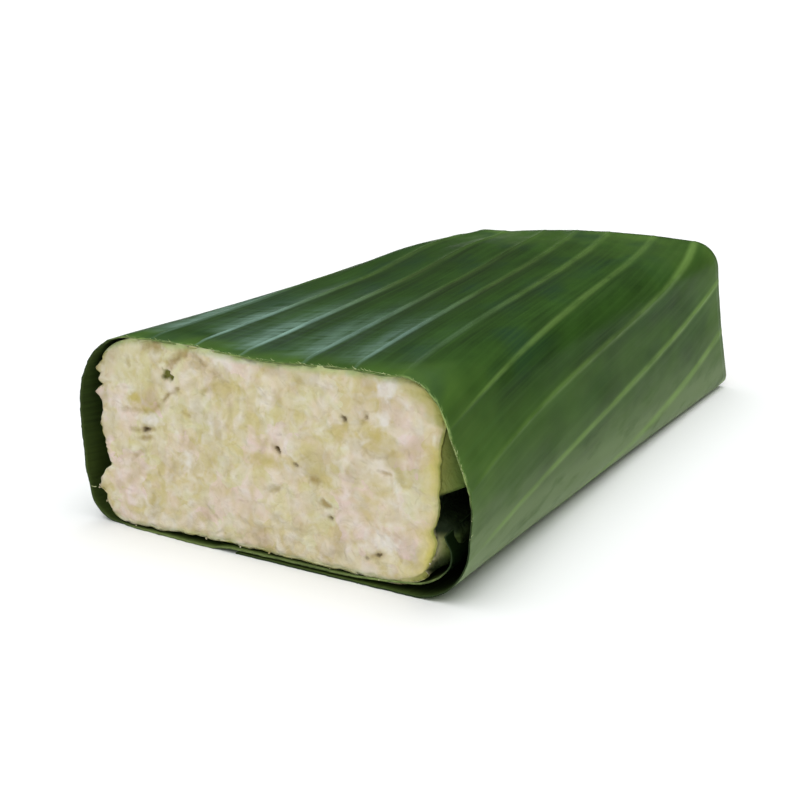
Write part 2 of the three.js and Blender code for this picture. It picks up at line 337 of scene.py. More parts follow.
class Kind(Enum):
    """Nodes that recur: type name, inputs that values fill in turn, output given back, settings."""

    BLEND = ("ShaderNodeMix", (0, 6, 7), 2, {"data_type": "RGBA"})
    BUMP = ("ShaderNodeBump", ("Height", "Strength", "Distance", "Normal"), 0, {})
    MOVE = ("ShaderNodeMapping", ("Vector", "Location", "Rotation"), 0, {})
    NOISE = ("ShaderNodeTexNoise", ("Vector", "Scale", "Detail", "Distortion"), "Fac", {})
    OFFSET = ("GeometryNodeSetPosition", ("Geometry", "Offset"), 0, {})
    # a value between a low and a high one, then what the high and the low one become
    RANGE = ("ShaderNodeMapRange", (0, 1, 2, 4, 3), 0, {})
    SMOOTH = ("ShaderNodeMapRange", (0, 1, 2, 4, 3), 0, {"interpolation_type": "SMOOTHSTEP"})
    READ = ("GeometryNodeInputNamedAttribute", ("Name",), "Attribute", {"data_type": "FLOAT"})
    READ_RUN = ("GeometryNodeInputNamedAttribute", ("Name",), "Attribute", {"data_type": "FLOAT_VECTOR"})
    STORED = ("ShaderNodeAttribute", (), "Fac", {})
    PLUS = ("ShaderNodeMath", (0, 1), 0, {"operation": "ADD"})
    MINUS = ("ShaderNodeMath", (0, 1), 0, {"operation": "SUBTRACT"})
    TIMES = ("ShaderNodeMath", (0, 1), 0, {"operation": "MULTIPLY"})
    TIMES_PLUS = ("ShaderNodeMath", (0, 1, 2), 0, {"operation": "MULTIPLY_ADD"})
    OVER = ("ShaderNodeMath", (0, 1), 0, {"operation": "DIVIDE"})
    POWER = ("ShaderNodeMath", (0, 1), 0, {"operation": "POWER"})
    PLACE_PLUS = ("ShaderNodeVectorMath", (0, 1), 0, {"operation": "ADD"})
    PLACE_TIMES = ("ShaderNodeVectorMath", (0, 1), 0, {"operation": "MULTIPLY"})
    SCALE = ("ShaderNodeVectorMath", (0, "Scale"), 0, {"operation": "SCALE"})


class Wiring:
    """A node tree in the making."""

    def __init__(self, tree: bpy.types.NodeTree) -> None:
        """Starts from an empty tree."""
        self.tree = tree
        tree.nodes.clear()

    def add(self, kind: Kind | str, *values: object, wires: dict | None = None,
            out: int | str | None = None, **settings: object) -> Socket | None:
        """Adds one node with its settings, values and links.

        Args:
            kind: the node, or its type name.
            values: what its inputs get in turn: a value, or the output that feeds it.
            wires: the same by the inputs' names or numbers.
            out: the output to give back, where it isn't the usual one.
            settings: properties of the node.

        Returns:
            One output, or None where the node has none.
        """
        usual = (kind, range(len(values)), 0, {})
        name, inputs, output, preset = kind.value if isinstance(kind, Kind) else usual
        node = self.tree.nodes.new(name)
        for key, value in {**preset, **settings}.items():
            setattr(node, key, value)
        for key, value in {**dict(zip(inputs, values)), **(wires or {})}.items():
            if isinstance(value, Socket):
                self.tree.links.new(value, node.inputs[key])
            else:
                node.inputs[key].default_value = value
        return node.outputs[output if out is None else out] if len(node.outputs) else None

    def product(self, *factors: object) -> Socket:
        """Several numbers multiplied in turn.

        Args:
            factors: numbers or outputs.

        Returns:
            Their product.
        """
        total = factors[0]
        for factor in factors[1:]:
            total = self.add(Kind.TIMES, total, factor)
        return total

    def wander(self, place: Socket, size: float, detail: float, reach: float) -> Socket:
        """Moves a place about at chance.

        Args:
            place: the place.
            size: the size of the chance pattern, in millimetres.
            detail: how rough it is.
            reach: how far it moves the place, in millimetres.

        Returns:
            The place that results.
        """
        noise = self.add(Kind.NOISE, place, 1 / (size * MM), detail, out="Color")
        centred = self.add(Kind.PLACE_PLUS, noise, (-0.5, -0.5, -0.5))
        return self.add(Kind.PLACE_PLUS, place, self.add(Kind.SCALE, centred, reach * MM))


class NodeShape(Wiring):
    """A Geometry Nodes tree with named inputs, run once on a piece and applied."""

    def __init__(self, name: str, inputs: dict[str, float | Material]) -> None:
        """Makes the tree with its inputs.

        Args:
            name: the tree's name.
            inputs: each input's name and value: a number or a material.
        """
        super().__init__(bpy.data.node_groups.new(name, "GeometryNodeTree"))
        self.inputs = inputs
        face = self.tree.interface
        for way in ("INPUT", "OUTPUT"):
            face.new_socket(name="Geometry", in_out=way, socket_type="NodeSocketGeometry")
        for key, value in inputs.items():
            kind = "NodeSocketMaterial" if isinstance(value, Material) else "NodeSocketFloat"
            face.new_socket(name=key, in_out="INPUT", socket_type=kind)
        self.given = self.add("NodeGroupInput").node.outputs

    def close(self, geometry: Socket, dress: list[tuple[object, Socket]]) -> NodeShape:
        """Realizes the geometry, dresses it and ends the tree.

        Args:
            geometry: the geometry.
            dress: which faces get a material, and the material.

        Returns:
            The tree itself.
        """
        geometry = self.add("GeometryNodeRealizeInstances", geometry)
        for chosen, finish in dress:
            geometry = self.add("GeometryNodeSetMaterial", geometry, chosen, finish)
        self.add("NodeGroupOutput", geometry)
        return self

    def apply(self, piece: Piece) -> None:
        """Runs the tree on a piece and leaves the result as its plain mesh.

        Args:
            piece: the object whose mesh is the tree's input.
        """
        modifier = piece.modifiers.new(self.tree.name, "NODES")
        modifier.node_group = self.tree
        for item in self.tree.interface.items_tree:
            if item.in_out == "INPUT" and item.name in self.inputs:
                modifier[item.identifier] = self.inputs[item.name]
        piece.update_tag()
        graph = bpy.context.evaluated_depsgraph_get()
        made = bpy.data.meshes.new_from_object(
            piece.evaluated_get(graph), preserve_all_data_layers=True, depsgraph=graph
        )
        piece.modifiers.remove(modifier)
        raw, piece.data = piece.data, made
        bpy.data.meshes.remove(raw)
        made.name = piece.name


# ---- Finishes


class Coating(Wiring):
    """A Principled material in the making, with its colour laid on coat by coat."""

    def __init__(self, name: str, ground: str, stored: tuple[str, ...] = ()) -> None:
        """Starts the material from one colour.

        Args:
            name: what the real material is.
            ground: its first colour.
            stored: the names of the values that it reads from the mesh.
        """
        self.material = bpy.data.materials.new(name)
        self.material.use_nodes = True
        super().__init__(self.material.node_tree)
        self.colour = linear(ground)
        self.stored = {key: self.add(Kind.STORED, attribute_name=key) for key in stored}

    @cached_property
    def place(self) -> Socket:
        """Where a point lies, in metres."""
        return self.add("ShaderNodeTexCoord", out="Object")

    def noise(self, size: float, detail: float, shift: float = 0.0, twist: float = 0.0) -> Socket:
        """Blotches of one size.

        Args:
            size: their size in millimetres.
            detail: how rough they are.
            shift: picks another pattern, in metres.
            twist: how far their outlines are bent.

        Returns:
            A value between 0 and 1.
        """
        moved = self.add(Kind.MOVE, self.place, (shift, 0, shift * 0.37))
        return self.add(Kind.NOISE, moved, 1 / (size * MM), detail, twist)

    def coat(self, colour: str | Socket, *covers: Socket | tuple) -> None:
        """Lays a colour over the last one.

        Args:
            colour: the colour.
            covers: how far it covers; a tuple is a value, its low and high end and the most it gives.
        """
        levels = [self.add(Kind.RANGE, *c) if isinstance(c, tuple) else c for c in covers]
        colour = linear(colour) if isinstance(colour, str) else colour
        self.colour = self.add(Kind.BLEND, self.product(*levels), self.colour, colour)

    def close(self, wires: dict[str, object]) -> Material:
        """Puts the shader under the last coat.

        Args:
            wires: the shader's other inputs.

        Returns:
            The material.
        """
        shader = self.add("ShaderNodeBsdfPrincipled", self.colour, wires=wires)
        self.add("ShaderNodeOutputMaterial", shader)
        return self.material


class SheetCoating(Coating):
    """A coating whose patterns follow the sheet of leaf."""

    @cached_property
    def place(self) -> Socket:
        """Where a point lies on the sheet: across it and along the package, in millimetres."""
        return self.add("ShaderNodeCombineXYZ", self.stored["across"], self.stored["length"])

    def streaks(self, over: float, down: float, detail: float, lean: float = 0.0) -> Socket:
        """Noise drawn out into streaks.

        Args:
            over: their width across the veins, in millimetres.
            down: their length along them.
            detail: how rough they are.
            lean: how far they turn from the veins, in radians.

        Returns:
            A value between 0 and 1.
        """
        leant = self.add(Kind.MOVE, self.place, (0, 0, 0), (0, 0, lean))
        scaled = self.add(Kind.PLACE_TIMES, leant, (1 / over, 1 / down, 1))
        return self.add(Kind.NOISE, scaled, 1.0, detail)


@dataclass(frozen=True)
class LeafBlade:
    """The upper side of a fresh banana leaf: a smooth green blade with its wax, under painted sheen and
    painted shade.
    """

    deep: str = "#233a15"
    fresh: str = "#2f4d1b"
    streak: str = "#3a5a24"
    veinlet: str = "#55763a"
    shade: str = "#25321b"
    painted_inner_shade: str = "#0c140a"
    warm: str = "#5f7f38"
    teal: str = "#213a2b"
    haze_and_floor_sheen: str = "#7d8f66"
    # the bluish tint of the painted sheen
    sheen_tint: str = "#738f80"
    rib: str = "#8db05c"
    pale_rib: str = "#85a596"
    fray: str = "#8aa35f"
    fine_width: float = 0.55  # of the finest parallel veins

    def make(self) -> Material:
        """Lays on the ground colours, the stains, the painted shade and sheen and the veins.

        Returns:
            The material.
        """
        skin = SheetCoating("Banana leaf, fresh, waxy upper side", self.deep, (
            "across", "length", "warm", "shade", "haze_and_floor_sheen", "rim", "painted_sheen", "from_vein", "rib_width", "rib_tone",
        ))
        add, coat, streaks, stored = skin.add, skin.coat, skin.streaks, skin.stored
        across = stored["across"]
        fine = streaks(self.fine_width, 45, 2)
        coat(self.fresh, (streaks(7, 20, 4), 0.35, 0.65))
        coat(self.warm, stored["warm"], (streaks(12, 25, 3), 0.25, 0.6))
        coat(self.teal, (streaks(13, 24, 2), 0.5, 0.66, 0.6), (across, 42, 26))
        # painted shade where the blade turns from the light
        coat(self.shade, stored["shade"])
        coat(self.streak, (fine, 0.42, 0.75, 0.45))
        coat(self.veinlet, (streaks(1.5, 70, 1), 0.5, 0.68, 0.14), (across, 10, 34))
        # painted shade: what is turned in under the package sees no light
        coat(self.painted_inner_shade, (across, -134, -148, 0.85))
        # grey haze of the right wall: dull wax with a painted reflection of the pale floor
        coat(self.haze_and_floor_sheen, stored["haze_and_floor_sheen"], (streaks(3, 14, 4), 0.1, 0.5))
        coat(self.fray, stored["rim"], (streaks(1.2, 1.2, 3), 0.45, 0.62))
        # the painted sheen lies in brushed streaks and in wisps that run across them
        brushed = add(Kind.RANGE, streaks(2.4, 16, 4), 0.3, 0.62)
        wisps = add(Kind.RANGE, streaks(8, 1.3, 4, -0.33), 0.35, 0.62, 0.5)
        # painted sheen, strongest at the front left of the top
        coat(self.sheen_tint, stored["painted_sheen"], add(Kind.TIMES_PLUS, brushed, 0.6, wisps))
        # the veins are pale near the cut on the left, whitened there by painted sheen, and green elsewhere
        ribs = linear(self.pale_rib)
        for greener in ((across, 10, 26), (stored["length"], 30, 70)):
            ribs = add(Kind.BLEND, add(Kind.RANGE, *greener), ribs, linear(self.rib))
        away = add(Kind.OVER, stored["from_vein"], stored["rib_width"])
        line = add(Kind.POWER, add(Kind.SMOOTH, away, 0.2, 1.6, 0.0, 1.0), 1.7)
        coat(ribs, line, (streaks(2.5, 12, 3), 0.1, 0.55), stored["rib_tone"])
        return skin.close({
            "Roughness": add(Kind.RANGE, streaks(4, 10, 4), 0.3, 0.7, 0.42, 0.28), "IOR": 1.45,
            "Normal": add(Kind.BUMP, fine, 0.25, 0.06 * MM), "Specular IOR Level": 0.02,
        })


@dataclass(frozen=True)
class LeafUnder:
    """The underside of the leaf, dull and dark where it is turned in round the block."""

    shade: str = "#2b3819"
    light: str = "#3b4c21"
    # painted light: the green where light comes through the leaf
    thin: str = "#55652c"  # where light comes through, low on the left and on the loose right
    rim: str = "#8a9a5c"

    def make(self) -> Material:
        """Lays on the two greens, the painted light that comes through, and the pale cut rim, which is also
        painted light over the shade under the rim.

        Returns:
            The material.
        """
        skin = SheetCoating("Banana leaf, dull underside", self.shade, ("across", "length", "rim"))
        across, grain = skin.stored["across"], skin.streaks(1 / 1.4, 12.5, 3)
        skin.coat(self.light, (grain, 0.3, 0.7))
        low, loose = skin.add(Kind.RANGE, across, -60, -70, 0.25), skin.add(Kind.RANGE, across, 62, 72, 0.5)
        # painted light that comes through the leaf, low on the left and on the loose right
        skin.coat(self.thin, skin.add(Kind.PLUS, low, loose))
        # the pale cut rim, also painted light over the shade under the rim
        skin.coat(self.rim, skin.stored["rim"])
        relief = skin.add(Kind.BUMP, grain, 0.3, 0.1 * MM)
        return skin.close({"Roughness": 0.55, "Normal": relief, "Specular IOR Level": 0.1})


@dataclass(frozen=True)
class LeafCut:
    """The knife-cut edge of the leaf, pale where it is fresh."""

    pale: str = "#9bb068"
    green: str = "#26371a"

    def make(self) -> Material:
        """Lays the pale cut over the green.

        Returns:
            The material.
        """
        edge = Coating("Banana leaf, knife-cut edge", self.green, ("cut_tone",))
        fresh = edge.add(Kind.RANGE, edge.noise(1.2, 2), 0.3, 0.65, 1.0, 0.35)
        edge.coat(self.pale, fresh, edge.stored["cut_tone"])
        return edge.close({"Roughness": 0.7, "Specular IOR Level": 0.15})


@dataclass(frozen=True)
class TempehFlesh:
    """Soybeans bound by white mould: soft cream and beige, moist, stained where the beans show."""

    cream: str = "#e1d6b6"
    rose: str = "#e5d0c7"
    lime: str = "#d7d4a9"
    straw: str = "#cec088"
    mould: str = "#e6e0d5"
    yellow: str = "#c2b264"
    brown: str = "#93772e"
    green: str = "#6b6c2c"
    # painted shade: the dark of pits and cracks, besides their sunk depth
    dark: str = "#554426"
    fringe: str = "#aab77c"
    ripe: str = "#cfc36f"
    stain: str = "#8f9246"
    # painted shade in the gap beside the leaf: green on the side, near black in the hole
    green_gap_shade: str = "#57702f"
    hole_shade: str = "#1d2913"
    bean: float = 7.4

    def make(self) -> Material:
        """Lays on the beans' tints, soft blotches and the marks stored on the mesh.

        Returns:
            The material.
        """
        # each mark's colour, and how far its outline is broken up
        marks = (("white", self.mould, 0.5), ("yellow", self.yellow, 0.25), ("fringe", self.fringe, 0.25),
                 ("green", self.green, 0.5), ("brown", self.brown, 0.25), ("pit", self.dark, 0.5))
        # the stains, then the painted shade of the gap at the right
        stains_and_shade = (("ripe", self.ripe), ("stain", self.stain), ("green_gap_shade", self.green_gap_shade), ("hollow", self.hole_shade))
        flesh = Coating("Soybean tempeh, knife-cut, moist", self.cream,
                        ("groove", *(mark[0] for mark in marks), *(name for name, _ in stains_and_shade)))
        add, coat, noise, stored = flesh.add, flesh.coat, flesh.noise, flesh.stored
        # each bean has a tint of its own, with a crumbled outline
        crumbled = flesh.wander(flesh.place, 2.6, 1.5, 7)
        cells = {"Vector": crumbled, "Scale": 1 / (self.bean * MM)}
        beans = add("ShaderNodeTexVoronoi", wires=cells, out="Color")
        tint = add("ShaderNodeSeparateColor", beans).node.outputs
        coat(self.rose, (tint[0], 0.3, 0.8))
        coat(self.lime, (tint[1], 0.45, 0.85, 0.8))
        coat(self.straw, (tint[2], 0.55, 0.9, 0.7))
        coat(self.straw, (noise(3.9, 1, 0.23, 0.6), 0.42, 0.68, 0.75))
        coat(self.rose, (noise(3.64, 1, 0.77, 0.6), 0.45, 0.7, 0.5))
        coat(self.mould, (noise(2.6, 1.5, 0.41, 0.8), 0.42, 0.75, 0.7))
        coat(self.brown, (noise(5.2, 1.5, 0.59, 0.8), 0.46, 0.74, 0.38))
        coat(self.brown, (noise(1.4, 2, 0.53, 0.8), 0.56, 0.78, 0.22))
        coat(self.straw, (stored["groove"], 0.3, 1.0, 0.22))
        grit = noise(1.1, 4, 0.91)
        for name, code, rough in marks:
            level = add(Kind.TIMES_PLUS, grit, rough, stored[name])
            coat(code, (level, rough * 0.76, rough * 0.24 + 1))
        for name, code in stains_and_shade:
            coat(code, stored[name])
        fine = add(Kind.BUMP, noise(0.7, 2, 0.31), 0.4, 0.2 * MM)
        return flesh.close({
            "Roughness": add(Kind.RANGE, noise(1.6, 3, 0.7), 0.3, 0.7, 0.8, 0.5), "IOR": 1.4,
            "Normal": add(Kind.BUMP, noise(2.6, 3, 0.37, 0.6), 0.8, 1.1 * MM, fine),
            "Specular IOR Level": 0.25, "Subsurface Weight": 0.12, "Subsurface Scale": 1.2 * MM,
            "Subsurface Radius": (1.0, 0.7, 0.4),
        })


@dataclass(frozen=True)
class DryFibre:
    """Torn leaf fibre that has dried pale."""

    green: str = "#8f9e5c"
    pale: str = "#c3c995"

    def make(self) -> Material:
        """Lays the pale fibre over the green.

        Returns:
            The material.
        """
        strand = Coating("Banana leaf fibre, torn and dry", self.green)
        strand.coat(self.pale, (strand.noise(2, 2), 0.35, 0.65))
        return strand.close({"Roughness": 0.75})


@dataclass(frozen=True)
class MattePaper:
    """Plain white paper, rolled and uncoated, for the floor."""

    white: str = "#f7f7f5"
    grain: float = 1 / 0.9

    def make(self) -> Material:
        """Gives the white paper its grain.

        Returns:
            The material.
        """
        paper = Coating("White uncoated paper", self.white)
        relief = paper.add(Kind.BUMP, paper.noise(self.grain, 2), 0.04, 0.1 * MM)
        return paper.close({"Roughness": 0.9, "Normal": relief})


# ---- The leaf


class LeafPart(Enum):
    """The regions of the sheet, each with its own finish."""

    UPPER = 0
    UNDER = 1
    EDGE = 2


@dataclass(frozen=True)
class Vein:
    """A pale vein: its place across the sheet, its strength and its half width from end to end."""

    place: float
    tone: Taper = Taper(0.4, 0.2)
    half_width: Taper = Taper(0.35, 0.35)


@dataclass
class BananaLeaf:
    """One sheet of leaf wound once round the block and about a sixth of a turn over itself."""

    track: WrapTrack
    thickness: float = 0.28
    layer_lift: float = 0.72  # the inner layer's rise where it lies on the outer one
    layer_ramp: float = 5.0
    curl_gap: Taper = Taper(1.8, 0.3)  # the inner free end stands off the outer layer by this
    curl: tuple[float, float] = (8.0, 32.0)
    tip_bend: Taper = Taper(2.4, 0.1)  # the free end inside bends on towards the block
    tip_length: float = 7.0
    cling: float = 0.3  # the leaf lies lower by this over the near edge of the block
    cling_reach: float = 3.5  # and is back at its own height this far behind the rim
    inner_edge: float = -161.0
    outer_edge: float = 101.5
    left_vein_pitch: float = 9.83
    slant_straight: float = 0.13
    slant_curved: float = 9e-6
    vein_flank: tuple[float, ...] = (0, 0.16, 0.34, 0.6, 1.0)  # columns beside a vein
    panel_columns: int = 12
    rim_row_depth: float = 8.0  # the first stretch, where the rows lie closer
    rim_rows: int = 18
    body_rows: int = 56
    rib_half_width: float = 0.36
    rib_rise: float = 0.16
    drop: float = 0.14  # the blade steps down by this past each vein

    # each vein of the top and the right: place, near and far strength, near and far half width
    TOP_VEINS = (
        (-33.2, 0.5, 0.1, 0.34, 1.3), (-23.3, 1.25, 0.1, 0.32, 1.5), (-13, 1.35, 0.09, 0.34, 1.5),
        (-1.3, 0.8, 0.08, 0.4, 1.4), (7.7, 0.75, 0.12, 0.32, 1.3), (16.4, 0.1, 0.18, 0.6, 1.3),
        (28.4, 0.34, 0.17, 0.3, 1.1), (39, 0.18, 0.34, 0.5, 1.1), (50.7, 0.35, 0.48, 0.6, 1.0),
        (63, 0.34, 0.48, 0.6, 1.1), (75.4, 0.3, 0.35, 0.8, 1.0), (88, 0.3, 0.3, 0.6, 0.8),
    )
    SLANT_SHARE = [(-161, 0.15), (-110, 1)]  # the inner edge lies nearly along the package
    VEIN_RIDGE = [(-52, 0.05), (-36, 0.26), (16, 0.24), (30, 0.12), (60, 0.12)]
    NEAR_CURVE = [(-18, -0.4), (20, 1)]  # the left veins run straighter near the cut
    # painted sheen by place across the sheet and by length along it
    SHEEN_ACROSS = [
        (-70, 0.1), (-56, 0.5), (-44, 0.85), (-34, 0.9), (-27, 0.8), (-20, 1), (-14, 1), (-9, 0.75),
        (7, 0.75), (12, 0.12), (24, 0),
    ]
    SHEEN_LENGTH = [(6, 0), (9, 0.45), (14, 0.9), (26, 0.92), (45, 0.5), (60, 0.15), (80, 0.03), (142, 0)]
    # painted shade, warm tint and grey haze (dull wax with a painted reflection of the pale floor), by
    # distance round the package, and the first two by length
    SHADE = [(-60, 0.5), (-36, 0.6), (-20, 0.8), (-8, 1), (6, 1), (14, 0.7), (24, 0.35), (32, 0.05), (50, 0)]
    SHADE_LENGTH = [(4, 0.3), (14, 1), (40, 0.95), (70, 1), (95, 0.9), (130, 0.2)]
    WARM = [(-60, 0.1), (-40, 0.15), (-28, 1), (20, 0.9), (30, 0.75), (46, 0.8), (60, 0.5)]
    WARM_LENGTH = [
        (0, 1), (2.5, 0.8), (7, 0.5), (11, 0.1), (20, 0.02), (105, 0.05), (120, 0.25), (128, 0.42),
        (142, 0.7),
    ]
    HAZE_AND_FLOOR_SHEEN = [(46, 0), (52, 0.14), (56, 0.38), (60, 0.75), (65, 1)]
    # paleness of the cut edge, and how far both rims are drawn back, by distance round the package
    CUT_TONE = [
        (-161, 0), (-153, 0), (-148, 0.45), (-138, 0.8), (-126, 0.45), (-100, 0.5), (-84, 0.5), (-76, 0.1),
        (-37, 0.05), (-30, 0.7), (-8, 0.7), (4, 0.5), (25, 0.5), (31, 0.8), (36, 1), (49, 0.9),
        (54, 0.15), (60, 0),
    ]
    NEAR_RIM = [
        (-159, 1.2), (-118, 0.5), (-98, 0.1), (-83, 0.5), (-76, 1.2), (-69, 0.9), (-62, 0.1), (-52, 0),
        (-42, 1.1), (-30, 2.9), (-14, 3.5), (0, 2.7), (14, 3.3), (27, 2.7), (42, 1.5), (60, 0.8), (76, 0.3),
    ]
    FAR_RIM = [(-159, 1.2), (-110, 1.0), (-60, 0.6), (-30, 0), (70, 0), (100, 0.6)]

    def slant(self, across: Array | float, length: Array | float) -> Array:
        """How far a place on the sheet has run sideways.

        Args:
            across: the place across the sheet.
            length: how far back from the near end.

        Returns:
            The run, rising towards +X.
        """
        d = length - HALF
        curved = self.slant_curved * np.where(d < 0, profile(self.NEAR_CURVE, across), 1)
        return -profile(self.SLANT_SHARE, across) * (self.slant_straight * d + curved * d ** 3)

    def veins(self) -> list[Vein]:
        """Every vein from the inner edge to the outer, evenly spaced up to the first of the top.

        Returns:
            The veins.
        """
        regular = round((self.TOP_VEINS[0][0] - self.inner_edge) / self.left_vein_pitch)
        left = [Vein(self.inner_edge + i * self.left_vein_pitch) for i in range(regular)]
        top = [Vein(place, Taper(*sizes[:2]), Taper(*sizes[2:])) for place, *sizes in self.TOP_VEINS]
        return [*left, *top, Vein(self.outer_edge)]

    def columns(self, veins: list[Vein]) -> dict[str, Array]:
        """The columns of the sheet, close together beside each vein.

        Args:
            veins: the sheet's veins.

        Returns:
            Place across the sheet, share of the way to the next vein, distance from the nearest
            and that one's number.
        """
        found: dict[str, list[Array]] = {"across": [], "panel": [], "from_vein": [], "vein": []}
        flank = np.array(self.vein_flank)
        for i, (start, end) in enumerate(zip([v.place for v in veins], [v.place for v in veins[1:]])):
            middle = np.linspace(start + flank[-1], end - flank[-1], self.panel_columns + 2)
            places = np.concatenate([start + flank[:-1], middle, end - flank[-2:0:-1]])
            near_start = places - start < end - places
            found["across"].append(places)
            found["panel"].append((places - start) / (end - start))
            found["from_vein"].append(np.where(near_start, places - start, end - places))
            found["vein"].append(np.where(near_start, i, i + 1))
        last = {"across": self.outer_edge, "panel": 1.0, "from_vein": 0.0, "vein": len(veins) - 1}
        return {key: np.concatenate([*parts, [last[key]]]) for key, parts in found.items()}

    def near_rim(self, distance: Array) -> Array:
        """How far the near rim is drawn back, with the knife's small nicks.

        Args:
            distance: how far round the package.

        Returns:
            The length from the near end.
        """
        rough = Drift(11)
        nicks = 0.12 * (1 + rough.at(distance * 1.3, 0.5)) + 0.08 * (1 + rough.at(distance * 3.7, 9.5))
        return profile(self.NEAR_RIM, distance) + nicks

    def sunk(self, distance: Array, length: Array) -> Array:
        """How far inside the track the sheet lies, where it laps and at its free end.

        Args:
            distance: how far round the package.
            length: how far back from the near end.

        Returns:
            The depth.
        """
        outer_free = self.outer_edge + self.slant(self.outer_edge, length) - self.track.around_at(length)
        lapped = 1 - ease(distance - outer_free, 1, 1 + self.layer_ramp)
        from_tip = distance - self.inner_edge - self.slant(self.inner_edge, length)
        curled = (1 - ease(from_tip, *self.curl)) * self.curl_gap.at(length / LENGTH)
        tip = np.clip(1 - from_tip / self.tip_length, 0, 1) ** 2 * self.tip_bend.at(length / LENGTH)
        return lapped * self.layer_lift + curled + tip

    def build(self, finishes: dict[LeafPart, Material]) -> Piece:
        """Builds the sheet: its two faces, the cut rims and the relief of the veins.

        Args:
            finishes: the material of each region.

        Returns:
            The leaf's object.
        """
        veins = self.veins()
        column = self.columns(veins)
        across = column["across"][None, :]
        rim = np.linspace(0, 1, self.rim_rows, endpoint=False) * self.rim_row_depth / LENGTH
        share = np.concatenate([rim, np.linspace(self.rim_row_depth / LENGTH, 1, self.body_rows)])[:, None]
        near_at, far_at = (across + self.slant(across, end) for end in (0.0, LENGTH))
        near = self.near_rim(near_at)
        far = LENGTH - profile(self.FAR_RIM, far_at) - 0.1 * (1 + Drift(12).at(far_at * 1.3, 20.5))
        length = near + (far - near) * share
        wide = np.broadcast_to(across, length.shape)
        distance = wide + self.slant(wide, length)
        point, out = self.track.at(distance, length)

        lift = top_rise(point[..., 0], point[..., 1], length / LENGTH) - self.sunk(distance, length)
        over_block = ease(distance, -36, -28) * (1 - ease(distance, 24, 30))
        lift = lift - self.cling * (1 - ease(length - near, 0, self.cling_reach)) * over_block
        middle = point + out * lift[..., None]
        both = (middle + out * side * self.thickness / 2 for side in (1, -1))
        points = np.concatenate([upright(section, length - HALF).reshape(-1, 3) for section in both])
        ridge = ease(point[..., 1], 9, 20) * profile(self.VEIN_RIDGE, wide)
        ridge = ridge * (0.35 + 0.65 * ease(length, 1, 10)) * (0.25 + 0.75 * ease(LENGTH - length, 0, 8))
        values = {
            "across": wide, "length": length, "panel": column["panel"], "from_vein": column["from_vein"],
            "ridge": ridge, "slack": 0.25 * ease(point[..., 1], 1, 6),
            **self.vein_tones(veins, column["vein"].astype(int), length, wide),
            **self.tints(column["panel"][None, :], wide, length, distance),
            "cut_tone": profile(self.CUT_TONE, near_at) * (1 - ease(length, 4, 8)),
            "rim": profile(self.CUT_TONE, near_at) * (1 - ease(length - near, 0.1, 0.7)),
        }
        # both faces carry the same values
        values = {name: np.tile(np.broadcast_to(v, length.shape).ravel(), 2) for name, v in values.items()}
        values["out"] = np.tile(upright(out).reshape(-1, 3), (2, 1))
        faces, parts = self.skin(*length.shape)
        piece = Sheet(points, faces, values, parts).make("banana_leaf_blade")
        self.relief(finishes).apply(piece)
        return piece

    @staticmethod
    def vein_tones(veins: list[Vein], nearest: Array, length: Array, wide: Array) -> dict[str, Array]:
        """How strongly and how widely the nearest vein shows.

        Args:
            veins: the sheet's veins.
            nearest: the number of the nearest vein in each column.
            length: how far back each point lies.
            wide: its place across the sheet.

        Returns:
            The strength and the half width.
        """
        station = length / LENGTH
        # the painted sheen whitens the left veins near the cut only
        faded = lambda vein, place: np.minimum(1, place * 1.8) if vein.place < 20 else place
        tone = [veins[n].tone.at(faded(veins[n], station[:, k])) for k, n in enumerate(nearest)]
        width = [veins[n].half_width.at(station[:, k]) for k, n in enumerate(nearest)]
        # veins start weak at the cut and at the free edge inside
        plain = (0.15 + 0.85 * ease(length, 3, 15)) * ease(wide, -150, -130)
        return {"rib_tone": np.stack(tone, 1) * plain, "rib_width": np.stack(width, 1)}

    def tints(self, panel: Array, wide: Array, length: Array, distance: Array) -> dict[str, Array]:
        """How far the painted sheen, the painted shade, the warm tint and the haze, partly a painted
        reflection of the floor, cover the sheet.

        Args:
            panel: the share of the way from one vein to the next.
            wide: the place across the sheet.
            length: how far back from the near end.
            distance: how far round the package.

        Returns:
            The cover of each.
        """
        # painted sheen and shade: each vein stands proud, the blade before it catches the light, the blade
        # after it turns away
        lit = np.where(distance < 30, 0.15 + 0.85 * ease(panel, 0.3, 0.95), 1)
        turned = 1 - 0.7 * ease(panel, 0.05, 0.6)
        # the painted sheen ends sooner towards the right and starts later between the first veins of the top
        later = ease(wide, -35, -32) * (1 - ease(wide, -25, -22)) * (1 - ease(length, 12, 26))
        sheen_at = length * (1 + 0.3 * ease(distance, -26, -6)) - 6 * later
        # the warm rim is wider at the right
        warm_at = length / (1 + 1.2 * ease(distance, 24, 34) * (1 - ease(length, 30, 60)))
        warm = profile(self.WARM, distance) * profile(self.WARM_LENGTH, warm_at)
        return {
            "painted_sheen": profile(self.SHEEN_ACROSS, wide) * profile(self.SHEEN_LENGTH, sheen_at) * lit,
            "shade": profile(self.SHADE, distance) * profile(self.SHADE_LENGTH, length) * turned,
            "warm": np.maximum(warm, 0.3 * ease(distance, 36, 44)),
            "haze_and_floor_sheen": profile(self.HAZE_AND_FLOOR_SHEEN, distance),
        }

